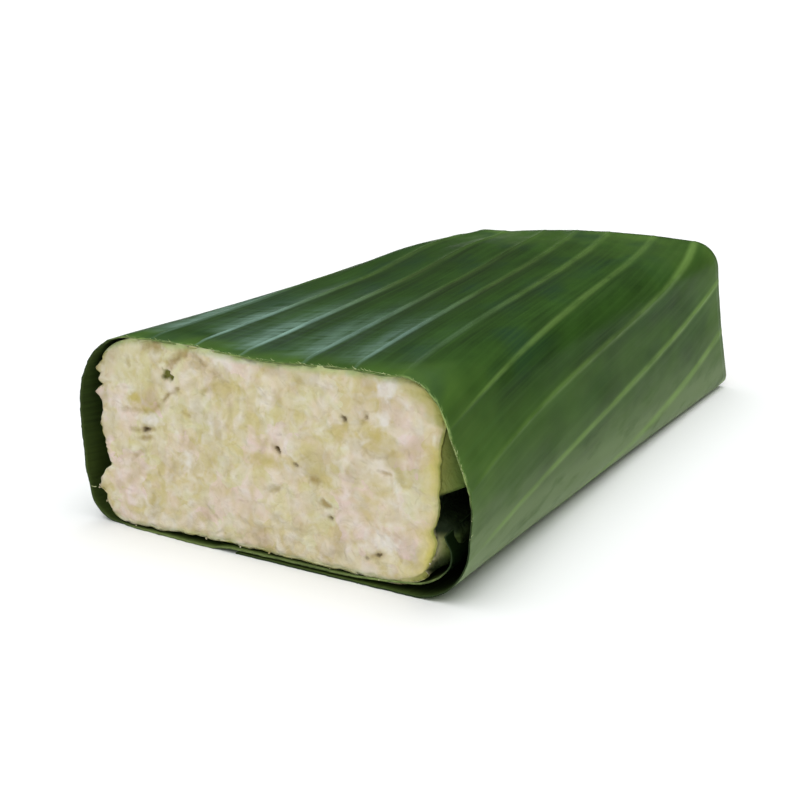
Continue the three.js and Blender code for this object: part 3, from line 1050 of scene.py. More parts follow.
    @staticmethod
    def skin(rows: int, count: int) -> tuple[Array, Array]:
        """The faces of both sides of the sheet and of its rims.

        Args:
            rows: rows of points along the package.
            count: points in a row.

        Returns:
            The corners of each face and the region that it belongs to.
        """
        index = np.arange(rows * count).reshape(rows, count)
        under = index + rows * count
        upper = quads(index[:-1, :-1], index[:-1, 1:], index[1:, 1:], index[1:, :-1])
        lower = quads(under[:-1, :-1], under[1:, :-1], under[1:, 1:], under[:-1, 1:])
        rim = np.concatenate([
            quads(index[:-1, 0], index[1:, 0], under[1:, 0], under[:-1, 0]),
            quads(index[:-1, -1], under[:-1, -1], under[1:, -1], index[1:, -1]),
            quads(index[0, :-1], under[0, :-1], under[0, 1:], index[0, 1:]),
            quads(index[-1, :-1], index[-1, 1:], under[-1, 1:], under[-1, :-1]),
        ])
        return np.concatenate([upper, lower, rim]), np.repeat(
            [part.value for part in LeafPart], [len(upper), len(lower), len(rim)])

    def relief(self, finishes: dict[LeafPart, Material]) -> NodeShape:
        """The tree that raises the veins, steps the blade between them and dresses the regions.

        Args:
            finishes: the material of each region.

        Returns:
            The tree.
        """
        shape = NodeShape("leaf_relief", {
            "Rib Half Width": self.rib_half_width, "Rib Rise": self.rib_rise, "Drop": self.drop,
            "Cockle": 0.22, "Cockle Width": 5.0, "Cockle Length": 17.0,
            **{part.name.title(): material for part, material in finishes.items()},
        })
        given, add, product = shape.given, shape.add, shape.product
        panel, ridge, vein, across, length, slack = (
            add(Kind.READ, name) for name in ("panel", "ridge", "from_vein", "across", "length", "slack")
        )
        half_turn = add(Kind.TIMES, panel, math.pi)
        hollow = add(Kind.MINUS, 1.0, add("ShaderNodeMath", half_turn, operation="SINE"))
        spread = add(Kind.OVER, vein, given["Rib Half Width"])
        bell = add(Kind.POWER, math.e, product(spread, spread, -1.0))
        share = add("ShaderNodeMath", add(Kind.TIMES, ridge, 2.5), 1.0, operation="MINIMUM")
        rib = product(bell, given["Rib Rise"], add(Kind.TIMES_PLUS, share, 0.7, 0.3))
        # the two columns at a vein keep one height
        step = product(add(Kind.MINUS, panel, 0.5), given["Drop"], share, add(Kind.MINUS, 1.0, bell))
        place = add("ShaderNodeCombineXYZ", add(Kind.OVER, across, given["Cockle Width"]),
                    add(Kind.OVER, length, given["Cockle Length"]))
        # always inwards, so that the sheet keeps inside the package's box
        cockle = product(add(Kind.MINUS, add(Kind.NOISE, place, 1.0, 1.5), 0.8), given["Cockle"],
                         add(Kind.PLUS, share, slack))
        total = add(Kind.PLUS, add(Kind.TIMES_PLUS, hollow, ridge, rib), add(Kind.PLUS, step, cockle))
        offset = add(Kind.SCALE, add(Kind.READ_RUN, "out"), add(Kind.TIMES, total, MM))
        region = add(Kind.READ, "part", data_type="INT")
        return shape.close(add(Kind.OFFSET, given["Geometry"], offset), [
            (add("FunctionNodeCompare", wires={2: region, 3: part.value}, data_type="INT", operation="EQUAL"),
             given[part.name.title()]) for part in LeafPart
        ])


# ---- The tempeh


class Mark(Enum):
    """What shows at a spot of the cut face; each value is the name of its attribute."""

    PIT = "pit"
    YELLOW = "yellow"
    BROWN = "brown"
    GREEN = "green"
    WHITE = "white"


@dataclass(frozen=True)
class Spot:
    """An oval mark on the cut face: its place, its half sizes, its turn in degrees and strength."""

    kind: Mark
    x: float
    z: float
    wide: float
    tall: float
    turn: float = 0.0
    strength: float = 1.0
    depth: float = 0.0


NEAR_SPOTS = tuple(Spot(kind, *sizes) for kind, group in (
    # pits between beans, darkened with painted shade
    (Mark.PIT, ((-27.5, 19.8, 1.5, 0.55, 12, 0.95, 0.66),)),
    (Mark.GREEN, ((-22.1, 30.7, 1.7, 1.0, -8, 0.9, 0.9),)),
    (Mark.PIT, (
        (2.4, 20.6, 0.85, 0.5, -25, 0.85, 0.48), (6.3, 18.7, 0.7, 0.3, -20, 0.6, 0.3),
        (16.4, 28.2, 0.65, 0.4, -30, 0.6, 0.48), (20.8, 28.9, 0.4, 0.7, 10, 0.5, 0.3),
        (13.8, 10.2, 0.6, 0.45, -10, 0.65, 0.42), (23.4, 5.6, 1.0, 0.5, 25, 0.85, 0.42),
        (21.2, 4.6, 0.5, 0.4, 0, 0.5, 0.24), (2.9, 23.4, 0.6, 0.4, 0, 0.25, 0.18),
        (-4.3, 23.7, 0.6, 0.35, 0, 0.2, 0.12),
    )),
    # brown marks: skins and edges of beans, and olive-brown along the top edge at the left
    (Mark.BROWN, (
        (-27.6, 18.0, 1.6, 0.6, 10, 0.6, 0.3), (12.7, 12.6, 1.5, 0.6, -20, 0.75, 0.4),
        (10.0, 16.5, 1.9, 0.8, -15, 0.6, 0.2), (1.7, 13.4, 1.8, 0.8, 15, 0.45, 0.2),
        (-24.6, 35.6, 2.6, 1.0, -5, 0.62, 0.3), (-18.2, 34.9, 2.6, 1.0, 25, 0.62, 0.3),
        (-15.4, 33.6, 2.2, 1.3, -20, 0.45, 0.2), (-11.6, 32.4, 1.9, 1.3, -40, 0.4, 0.2),
        (-17.2, 23.9, 1.3, 0.5, -15, 0.4, 0.2), (-28.9, 15.0, 1.9, 0.8, 20, 0.35, 0.2),
        (-31.4, 32.2, 0.6, 1.4, 15, 0.3, 0.1), (24.5, 20.1, 1.8, 0.35, -8, 0.45, 0.2),
        (-1.7, 5.3, 2.4, 1.1, 10, 0.3, 0.2), (5.6, 4.9, 2.8, 1.2, 0, 0.22, 0.1),
    )),
    # beans that show yellow
    (Mark.YELLOW, (
        (-26.1, 29.6, 4.0, 5.2, 5, 0.32), (-30.4, 25.3, 1.8, 1.5, -40, 0.85), (-27.4, 23.6, 2.8, 0.8, 8, 0.6),
        (-17.5, 24.2, 2.6, 1.2, -15, 0.5), (-11.4, 16.7, 1.6, 2.0, 0, 0.5), (-16.4, 18.7, 2.2, 1.4, 10, 0.4),
        (-8.5, 29.9, 3.5, 1.3, 5, 0.5), (0.3, 18.2, 4.4, 1.5, 5, 0.6), (15.2, 25.7, 3.0, 1.6, 10, 0.65),
        (22.0, 26.5, 3.2, 1.4, -15, 0.7), (24.0, 16.4, 2.6, 1.6, 5, 0.5), (4.0, 27.3, 3.5, 2.0, 0, 0.3),
        (21.0, 12.0, 2.8, 1.6, 0, 0.35), (29.8, 11.5, 2.4, 1.5, 0, 0.35), (-31.5, 3.4, 2.6, 1.0, -20, 0.5),
        (11.5, 17.2, 3.0, 1.2, -20, 0.4),
    )),
    # tufts of white mould
    (Mark.WHITE, (
        (-9.4, 35.2, 3.2, 1.5, 5, 0.9), (-3.8, 35.7, 3.0, 1.0, 0, 0.8), (-17.7, 15.3, 1.5, 2.0, 0, 0.8),
        (-12.0, 22.2, 0.8, 2.2, 8, 0.7), (-26.0, 21.8, 3.2, 0.9, 5, 0.75), (24.0, 28.8, 1.7, 1.5, 0, 0.9),
        (24.9, 34.7, 2.2, 2.4, 20, 0.85), (25.2, 8.5, 2.6, 1.9, 0, 0.9), (27.2, 17.0, 0.9, 3.6, 18, 0.6),
        (14.5, 17.0, 0.9, 2.8, 35, 0.45), (33.8, 27.3, 0.5, 1.4, 0, 1.0), (31.0, 28.8, 1.0, 1.6, 0, 0.5),
    )),
) for sizes in group)


@dataclass(frozen=True)
class Crack:
    """A narrow gap between beans, as a line of points on the cut face."""

    half_width: float
    strength: float
    depth: float
    line: tuple[tuple[float, float], ...]


NEAR_CRACKS = (
    Crack(0.3, 0.4, 0.3, ((-33, 22.4), (-31.5, 22.9), (-28.6, 22.7), (-25.8, 23.4), (-23.4, 25.3))),
    Crack(0.32, 0.6, 0.4, ((-23.4, 25.3), (-22.2, 26.9), (-20.6, 27.5), (-19.7, 28.2))),
    Crack(0.28, 0.5, 0.4, ((-31.4, 19.2), (-29.3, 19.4), (-27.5, 19.8), (-26.0, 20.1))),
    Crack(0.25, 0.35, 0.3, ((-27.5, 19.8), (-27.9, 18.4), (-27.0, 17.6))),
    Crack(0.28, 0.3, 0.3, ((-31.3, 13.3), (-29.6, 15.0), (-28.4, 15.6), (-27.2, 14.2))),
    Crack(0.22, 0.22, 0.2, ((2.4, 20.6), (4.2, 20.2), (6.3, 18.8), (8.4, 18.0))),
    Crack(0.25, 0.3, 0.2, ((20.8, 29.2), (19.8, 27.4), (19.2, 26.0))),
    Crack(0.55, 0.5, 0.15,
          ((-21.2, 32.4), (-19.4, 34.4), (-17.1, 35.3), (-14.6, 34.4), (-12.4, 32.8), (-9.8, 31.2))),
    Crack(0.5, 0.45, 0.15, ((-27.6, 35.0), (-25.4, 35.5), (-23.6, 35.2))),
    Crack(0.4, 0.25, 0.1, ((-13.6, 28.8), (-11.4, 30.2), (-8.6, 30.6))),
    Crack(0.25, 0.2, 0.2, ((19.3, 24.6), (21.5, 22.3), (24.5, 22.6), (26.5, 24.2))),
    Crack(0.25, 0.35, 0.2, ((-15.5, 33.6), (-13.2, 33.2), (-11.6, 31.8))),
)
Patch = tuple[Array, dict[str, Array]]  # points of part of the block, and the values at them


@dataclass
class TempehCake:
    """The block of beans: two cut faces, and sides that lie against the leaf."""

    across: int = 280
    up: int = 126
    base_step: float = 0.6  # the base lies lower where there is a single layer of leaf under it
    near_cut: tuple[float, float] = (0.9, 3.3)  # how far back the cut lies at the base and at the top
    far_cut: tuple[float, float] = (140.4, 139.4)
    face_height: float = 37.0
    grid_steps: tuple[float, float, float] = (0.29, 0.27, 0.28)  # from the left, the right, up or down
    worn: float = 0.3  # the cut edges are rubbed back by about this
    bean_width: float = 8.6
    bean_height: float = 6.6
    ring_depths: tuple[float, ...] = (0, 0.3, 0.7, 1.2, 1.8, 2.6, 3.6, 5, 7, 10, 14, 19, 25, 32)
    middle_rings: tuple[float, ...] = (-16, 0, 16)

    # how far the torn left and right edges of the near face stand out, against height
    LEFT_TEAR = [
        (2, -0.6), (3, -0.5), (4.6, -0.1), (6.3, -0.5), (6.9, 1.0), (8.2, 0.7), (10, -0.7), (11.6, -2.2),
        (14, -1.3), (16, -0.95), (17.2, -0.3), (18.8, 0.1), (20.5, -0.4), (22, -0.8), (23.5, -0.7),
        (24.5, -0.3), (25.3, 0.8), (26.1, 0.1), (27, -1.1), (27.9, 0), (29, -0.3), (30, 1.3), (31, 0.4),
        (32.8, 0.6), (34, 0.2),
    ]
    RIGHT_TEAR = [
        (2, 0), (5, -0.9), (9, -1.1), (11.9, -1.9), (13.2, -1.4), (15, -1.1), (16.4, -1), (18, -0.9),
        (25, -0.9), (31, 0),
    ]
    # how the right side swells or hollows behind the cut, against height
    SIDE_SWELL = [(3, 0), (7, 1.9), (10.5, 1.9), (12.6, 0), (14, -2.2), (17, -2.2), (18.6, 0)]
    # how strongly and how far in the leaf's juice stains the right-hand edge, against height
    RIPE = [
        (2, 0.5), (6, 1), (11, 1), (14, 0.35), (16.5, 0.4), (19, 0.9), (25, 0.9), (27.5, 0.25), (29, 0.3),
        (31, 1), (34, 1), (36, 0.5),
    ]
    STAIN_REACH = [(29, 1), (30.5, 3.4), (34, 3.4), (35.5, 1.5)]
    RIPE_FADE = [(0, 1), (1.5, 0.8), (3, 0.45), (5, 0)]
    STAIN_FADE = [(0, 1), (0.4, 0.75), (0.9, 0.25), (1.5, 0.05), (2, 0)]

    def side_runs(self, station: float) -> list[Array]:
        """The four sides of the section: bottom, right, top and left, from left to right and up.

        Args:
            station: the place along the package, 0 to 1.

        Returns:
            The points of each side.
        """
        path = rounded_path(CAKE_CORNERS, station)
        whole = path[1][-1]
        fine = np.linspace(0, whole, 2000)
        dense = along(path, fine)
        stops = [fine[np.linalg.norm(dense - c.at(station)[0], axis=1).argmin()] for c in CAKE_CORNERS]
        bottom_right, top_right, top_left, bottom_left = stops
        run = lambda start, end, count: along(
            path, np.linspace(start, end if end > start else end + whole, count + 1) % whole)
        return [
            run(bottom_left, bottom_right, self.across), run(bottom_right, top_right, self.up),
            run(top_right, top_left, self.across)[::-1], run(top_left, bottom_left, self.up)[::-1],
        ]

    def shaped(self, section: Array, length: Array) -> Array:
        """Section points with the rise of the top and the step of the base.

        Args:
            section: the points.
            length: how far back each lies.

        Returns:
            The points that result.
        """
        x, z = section[..., 0], section[..., 1]
        step = self.base_step * ease(-x, 18, 24) * (1 - ease(z, 2, 12))
        return np.stack([x, z + top_rise(x, z, length / LENGTH) - step], -1)

    def torn(self, runs: list[Array], behind: float) -> list[Array]:
        """The sides near the cut, torn where the knife left flakes standing.

        Args:
            runs: the four sides.
            behind: how far behind the near cut they lie.

        Returns:
            The torn sides.
        """
        bottom, right, top, left = [run.copy() for run in runs]
        fade = 1 - float(ease(behind, 0.4, 2.8))
        chip = Drift(5)
        ragged = 0.22 * chip.at(left[:, 1] * 1.1, behind * 0.8) + 0.16 * chip.at(left[:, 1] * 2.7, 9 + behind)
        left[:, 0] -= fade * (profile(self.LEFT_TEAR, left[:, 1]) + ragged)
        nicks = 0.18 * (1 + chip.at(right[:, 1], 30 + behind))
        right[:, 0] += fade * (profile(self.RIGHT_TEAR, right[:, 1]) - nicks)
        bottom[:, 1] += fade * (0.16 * chip.at(bottom[:, 0] * 0.7, 12 + behind * 0.5) - 0.2)
        # the corners belong to two runs each
        left[0], left[-1] = bottom[0], top[0]
        right[0], right[-1] = bottom[-1], top[-1]
        return [bottom, right, top, left]

    def pressed(self, runs: list[Array], station: float, behind: float) -> list[Array]:
        """The sides drawn out to the leaf: all along the top, and behind the cut on the right.

        Args:
            runs: the four sides.
            station: their place along the package, 0 to 1.
            behind: how far behind the near cut they lie.

        Returns:
            The sides that result.
        """
        path = rounded_path(WRAP_CORNERS, station, BananaLeaf.thickness)
        inner_face = along(path, np.linspace(0, path[1][-1], 900))
        low = 17.4 + 0.5 * Drift(31).at(behind * 0.8, 3.5)
        moved = []
        for run in runs:
            x, z = run.T
            nearest = inner_face[np.linalg.norm(run[:, None] - inner_face[None], axis=2).argmin(axis=1)]
            top = ease(z, 28, 33) * ease(x, -33, -27)
            start = low + 0.5 * ease(x, 35, 40)
            side = ease(z, start, start + 1.6) * ease(x, 24, 32) * ease(behind, 0.1, 5.2)
            weight = np.maximum(top, side)[:, None] * 0.97
            swell = profile(self.SIDE_SWELL, z) * ease(x, 24, 32) * ease(behind, 0.1, 3.5) * (1 - station)
            moved.append(run + (nearest - run) * weight + swell[:, None] * [1, 0])
        return moved

    def sides(self, behind: float) -> list[Array]:
        """The four finished sides, that far behind the top of the near cut."""
        station = (behind + self.near_cut[1]) / LENGTH
        return self.pressed(self.torn(self.side_runs(station), behind), station, behind)

    def back(self, z: Array, share: float) -> Array:
        """How far back a ring lies: the two knife cuts lean and the rings between fan out.

        Args:
            z: the height of each point.
            share: the ring's place between the cuts, 0 to 1.

        Returns:
            The length from the near end.
        """
        cuts = (self.near_cut, self.far_cut)
        near, far = (base + (top - base) * z / self.face_height for base, top in cuts)
        return near + (far - near) * share

    def face(self, runs: list[Array]) -> Array:
        """A grid of section points stretched between the four sides.

        Args:
            runs: the sides.

        Returns:
            The grid, numbered across and then up.
        """
        bottom, right, top, left = runs
        u = np.linspace(0, 1, self.across + 1)[:, None, None]
        v = np.linspace(0, 1, self.up + 1)[None, :, None]
        stretched = bottom[:, None] * (1 - v) + top[:, None] * v + left[None] * (1 - u) + right[None] * u
        flat = (bottom[0] * (1 - u) + bottom[-1] * u) * (1 - v) + (top[0] * (1 - u) + top[-1] * u) * v
        return stretched - flat

    def near_edge(self) -> Array:
        """Finds the edge of the near cut face.

        Returns:
            Points all round it, in millimetres.
        """
        loop = np.concatenate(self.sides(0.0))
        back = self.back(loop[:, 1], 0.0)
        return upright(self.shaped(loop, back), back - HALF)

    def paint(
        self, x: Array, z: Array, spots: tuple[Spot, ...], cracks: tuple[Crack, ...]
    ) -> dict[str, Array]:
        """Stores the marks of a cut face and their depths.

        Args:
            x: the place across of each point.
            z: its height.
            spots: the oval marks.
            cracks: the gaps between beans.

        Returns:
            The strength of each kind of mark, and the depth.
        """
        value = {name: np.zeros(x.shape) for name in (*(kind.value for kind in Mark), "depth")}

        def raise_to(name: str, level: Array) -> None:
            """Keeps the stronger of what is there and the level."""
            value[name] = np.maximum(value[name], level)

        wobble, grit = Drift(21), Drift(22)
        for n, spot in enumerate(spots):
            cos, sin = math.cos(math.radians(spot.turn)), math.sin(math.radians(spot.turn))
            u = (cos * (x - spot.x) + sin * (z - spot.z)) / spot.wide
            v = (-sin * (x - spot.x) + cos * (z - spot.z)) / spot.tall
            away = np.hypot(u, v) + 0.4 * wobble.at(x * 0.9 + n, z * 0.9)
            away = away + 0.28 * grit.at(x * 2.2, z * 2.2 + n)
            sharp = spot.kind in (Mark.PIT, Mark.GREEN)
            inside = 1 - (ease(away, 0.3, 1.25) if sharp else ease(away, 0, 1.7))
            raise_to(spot.kind.value, inside * spot.strength)
            raise_to("depth", inside * spot.depth)
            if spot.kind is Mark.PIT:  # the flesh round a pit is browned
                raise_to("brown", (1 - ease(away, 0.6, 2.4)) * spot.strength * 0.5)
        for crack in cracks:
            near = np.full(x.shape, np.inf)
            for start, end in zip(np.array(crack.line), np.array(crack.line[1:])):
                run = end - start
                t = np.clip(((x - start[0]) * run[0] + (z - start[1]) * run[1]) / (run @ run), 0, 1)
                near = np.minimum(near, np.hypot(x - start[0] - t * run[0], z - start[1] - t * run[1]))
            near = near + 0.3 * wobble.at(x * 0.9, z * 0.9) + 0.14 * grit.at(x * 2.6, z * 2.6)
            inside = 1 - ease(near, -0.1, crack.half_width * 3.4)
            inside = inside * (0.7 + 0.4 * grit.at(x * 0.8, z * 0.8 + 7))
            # painted shade: the gap is darkened, besides being sunk
            raise_to("pit", inside * crack.strength * 0.5)
            raise_to("brown", inside * (0.1 + crack.strength))
            raise_to("depth", inside * crack.depth)
        return value

    @staticmethod
    def chance_spots(seed: int) -> tuple[Spot, ...]:
        """Marks of the far face, drawn at chance with the near face's sizes."""
        draw = np.random.default_rng(seed).uniform
        return tuple(replace(spot, x=draw(-33, 31), z=draw(4, 32), turn=draw(-40, 40)) for spot in NEAR_SPOTS)

    def cut_face(self, share: float, runs: list[Array], spots: tuple, cracks: tuple, inward: int) -> Patch:
        """A cut face with its marks.

        Args:
            share: 0 for the near one, 1 for the far one.
            runs: the four sides round it.
            spots: its oval marks.
            cracks: its gaps between beans.
            inward: the way into the block along the package, 1 or -1.

        Returns:
            The points of its grid and their values.
        """
        grid = self.face(runs)
        back = self.back(grid[..., 1], share)
        section = self.shaped(grid, back)
        x, z = section[..., 0], section[..., 1]
        value = self.paint(x, z, spots, cracks)
        # the distance in from the edge, from the spacing of the grid
        i, j = np.ogrid[:self.across + 1, :self.up + 1]
        left, right, level = self.grid_steps
        rim = np.minimum(np.minimum(i * left, (self.across - i) * right), np.minimum(j, self.up - j) * level)
        worn = self.worn * (1 - ease(rim, 0, 1.1)) * (1 + 0.8 * Drift(8).at(x * 0.6, z * 0.6))
        back = back + inward * (value.pop("depth") + worn)
        # the leaf's juice has soaked in at the right-hand edge, yellow and then green
        near = ease(x, 25, 32) * (1 + 0.3 * Drift(9).at(z * 0.4, 0.5))
        fringe = ease(z, 31, 34) * (1 - ease(rim, 0.3, 2.4)) * (0.8 + 0.35 * Drift(14).at(x * 0.5, z * 0.2))
        foot = (1 - ease(z, 2, 5)) * (1 - ease(rim, 0.2, 1.2)) * 0.4
        value |= {
            "ripe": near * profile(self.RIPE, z) * profile(self.RIPE_FADE, rim),
            "stain": near * profile(self.STAIN_FADE, rim / profile(self.STAIN_REACH, z)),
            "green_gap_shade": np.zeros(x.shape), "hollow": np.zeros(x.shape),
            "fringe": np.maximum(fringe * (1 - ease(x, 26, 34)), foot), "relief": ease(rim, 0, 1.0),
        }
        value = {name: level.ravel() for name, level in value.items()}
        value["inward"] = np.tile([0.0, inward, 0.0], (x.size, 1))
        return upright(section, back - HALF).reshape(-1, 3), value

    def ring(self, share: float, behind: float, runs: list[Array]) -> Patch:
        """A ring of points round the sides, with painted shade, green and dark, in the gap at the right.

        Args:
            share: its place between the cuts, 0 to 1.
            behind: how far behind the near cut it lies.
            runs: the four sides there.

        Returns:
            The points and their values.
        """
        bottom, right, top, left = runs
        loop = np.concatenate([bottom[:-1], right[:-1], top[:0:-1], left[:0:-1]])
        count = len(loop)
        back = self.back(loop[:, 1], share)
        section = self.shaped(loop, back)
        inward = unit(np.stack([section[:, 0] * 0.9, np.full(count, 18.0)], 1) - section)
        bump = 0.14 * (1 + Drift(17).at(loop[:, 0] * 0.35 + loop[:, 1] * 0.3, back * 0.3))
        section = section + inward * bump[:, None]
        x, z = section.T
        right = ease(x, 16, 24)
        risen = lambda start, end: float(ease(behind, start, end))
        # painted shade: above the gap the side greens soon; below it a pale lump turns dark, and gap and foot
        # go near black
        gap = ease(z, 9.8, 11.8) * (1 - ease(z, 17.6, 18.8)) * risen(0, 0.7)
        foot = (1 - ease(z, 6.2, 9.4)) * risen(0.1, 1.2) * 0.9
        lump = 1 - ease(z, 12.0, 14.0)
        value = {name: np.zeros(count) for name in ("ripe", "fringe", *(kind.value for kind in Mark))}
        return upright(section, back - HALF), value | {
            "stain": 0.95 - 0.45 * right * lump * (1 - risen(0.3, 2)),
            "green_gap_shade": right * 0.95 * (risen(-0.6, 3) * (1 - lump) + risen(0.2, 2.4) * lump),
            "hollow": right * np.maximum.reduce([gap, foot, lump * 0.9 * risen(0.8, 3.4)]),
            "inward": upright(inward), "relief": np.full(count, 0.35),
        }

    def build(self, finish: Material) -> Piece:
        """Builds the block.

        Args:
            finish: the material of the tempeh.

        Returns:
            The block's object.
        """
        depths = np.array(self.ring_depths)
        whole = self.far_cut[1] - self.near_cut[1]
        behind = np.concatenate([depths, whole / 2 + np.array(self.middle_rings), whole - depths[::-1]])
        layers = [self.sides(depth) for depth in behind]
        patches = [
            self.cut_face(0, layers[0], NEAR_SPOTS, NEAR_CRACKS, 1),
            self.cut_face(1, layers[-1], self.chance_spots(3), (), -1),
            *(self.ring(depth / whole, depth, runs) for depth, runs in zip(behind[1:-1], layers[1:-1])),
        ]
        near = np.arange((self.across + 1) * (self.up + 1)).reshape(self.across + 1, self.up + 1)
        far = near + near.size
        edge = lambda grid: np.concatenate([grid[:-1, 0], grid[-1, :-1], grid[:0:-1, -1], grid[0, :0:-1]])
        around = len(edge(near))
        between = 2 * near.size + np.arange((len(behind) - 2) * around).reshape(-1, around)
        rings = np.concatenate([edge(near)[None], between, edge(far)[None]])
        turned = np.roll(rings, -1, axis=1)
        faces = np.concatenate([
            quads(near[:-1, :-1], near[1:, :-1], near[1:, 1:], near[:-1, 1:]),
            quads(far[:-1, :-1], far[:-1, 1:], far[1:, 1:], far[1:, :-1]),
            quads(rings[:-1], rings[1:], turned[1:], turned[:-1]),
        ])
        values = {name: np.concatenate([value[name] for _, value in patches]) for name in patches[0][1]}
        points = np.concatenate([points for points, _ in patches])
        piece = Sheet(points, faces, values).make("tempeh_cake_block")
        self.relief(finish).apply(piece)
        return piece

    def relief(self, finish: Material) -> NodeShape:
        """The tree that sinks the gaps between beans and roughens what lies between them.

        Args:
            finish: the material of the tempeh.

        Returns:
            The tree.
        """
        shape = NodeShape("bean_relief", {
            "Bean Width": self.bean_width, "Bean Height": self.bean_height, "Groove": 0.28,
            "Groove Width": 0.16, "Lump": 0.5, "Lump Size": 2.6, "Finish": finish,
        })
        given, add, product = shape.given, shape.add, shape.product
        place = add("GeometryNodeInputPosition")
        bean = add("ShaderNodeCombineXYZ", given["Bean Width"], given["Bean Width"], given["Bean Height"])
        cells = add("ShaderNodeVectorMath", shape.wander(place, 5, 2, 4), add(Kind.SCALE, bean, MM),
                    operation="DIVIDE")
        edge = add("ShaderNodeTexVoronoi", wires={"Vector": cells, "Scale": 1.0}, feature="DISTANCE_TO_EDGE")
        groove = add(Kind.SMOOTH, edge, 0.0, given["Groove Width"], 0.0, 1.0)
        noise = add(Kind.NOISE, place, add(Kind.OVER, 1 / MM, given["Lump Size"]), 3.0)
        lump = product(add(Kind.MINUS, 0.62, noise), given["Lump"])
        lump = add("ShaderNodeMath", lump, 0.0, operation="MAXIMUM")
        sunk = product(add(Kind.TIMES_PLUS, groove, given["Groove"], lump), add(Kind.READ, "relief"), MM)
        offset = add(Kind.SCALE, add(Kind.READ_RUN, "inward"), sunk)
        geometry = add("GeometryNodeStoreNamedAttribute", data_type="FLOAT", wires={
            "Geometry": add(Kind.OFFSET, given["Geometry"], offset), "Name": "groove", "Value": groove,
        })
        return shape.close(geometry, [(True, given["Finish"])])


# ---- Torn fibres and crumbs


@dataclass
class TornFibres:
    """Fibres that the knife pulled out of the leaf's near rim, most of them on the right."""

    length: float = 1.0
    thickness: float = 0.14
    spacing: float = 0.55
    first: float = -44.0
    last: float = 61.0
    seed: int = 12

    # the chance of a fibre against the distance round the near rim
    FRAY = [(-44, 0), (-34, 0.3), (6, 0.3), (10, 0.55), (26, 0.6), (33, 1), (42, 0.9), (56, 0.5), (61, 0)]
    # one long fibre stands across the gap at the left: its foot, the way it points and its size
    LONG_FOOT, LONG_HEADING, LONG_SIZE = (-40.2, 1.0 - HALF, 6.7), (-1.0, 0.0, -0.42), 1.3

    def build(self, leaf: BananaLeaf, finish: Material) -> Piece:
        """Places the fibres and shapes them.

        Args:
            leaf: the sheet whose rim they come from.
            finish: their material.

        Returns:
            The fibres' object.
        """
        draw = np.random.default_rng(self.seed)
        places = np.arange(self.first, self.last, self.spacing)
        places = places[draw.random(len(places)) < profile(self.FRAY, places)]
        rim = places + draw.uniform(-0.2, 0.2, len(places))
        back = leaf.near_rim(rim)
        flat, out = leaf.track.at(rim, back)
        flat = flat + out * top_rise(flat[:, 0], flat[:, 1], back / LENGTH)[:, None]
        points, out = upright(flat, back - HALF), upright(out)
        side = np.cross(out, [0.0, 1.0, 0.0]) * draw.choice([-1.0, 1.0], len(places))[:, None]
        heading = side + out * draw.uniform(-0.12, 0.1, (len(places), 1)) + np.array([0, 0.25, 0])
        size = draw.uniform(0.35, 1.0, len(places)) ** 1.5
        values = {"heading": np.vstack([heading, self.LONG_HEADING]), "size": np.append(size, self.LONG_SIZE)}
        piece = Sheet(np.vstack([points, self.LONG_FOOT]), values=values).make("leaf_fibres")
        self.shape(finish).apply(piece)
        return piece

    def shape(self, finish: Material) -> NodeShape:
        """The tree that sets one thin bent fibre on every point.

        Args:
            finish: the fibres' material.

        Returns:
            The tree.
        """
        shape = NodeShape("torn_fibres", {
            "Length": self.length, "Thickness": self.thickness, "Finish": finish,
        })
        given, add, product = shape.given, shape.add, shape.product
        end = add("ShaderNodeCombineXYZ", 0.0, 0.0, add(Kind.TIMES, given["Length"], MM))
        line = add("GeometryNodeCurvePrimitiveLine", wires={"End": end})
        line = add("GeometryNodeResampleCurve", wires={"Curve": line, "Count": 7})
        part = add("GeometryNodeSplineParameter", out="Factor")
        line = add(Kind.OFFSET, line, add("ShaderNodeCombineXYZ", product(part, part, 0.35 * MM)))
        radius = product(add(Kind.TIMES_PLUS, part, -0.75, 1.0), given["Thickness"], MM / 2)
        ring = add("GeometryNodeCurvePrimitiveCircle", wires={"Resolution": 6, "Radius": 1.0})
        fibre = add("GeometryNodeCurveToMesh", wires={
            "Curve": line, "Profile Curve": ring, "Scale": radius, "Fill Caps": True,
        })
        heading = add(Kind.READ_RUN, "heading")
        turn = add("FunctionNodeAlignRotationToVector", wires={"Vector": heading}, axis="Z")
        placed = add("GeometryNodeInstanceOnPoints", given["Geometry"], wires={
            "Instance": fibre, "Rotation": turn, "Scale": add(Kind.READ, "size"),
        })
        return shape.close(placed, [(True, given["Finish"])])


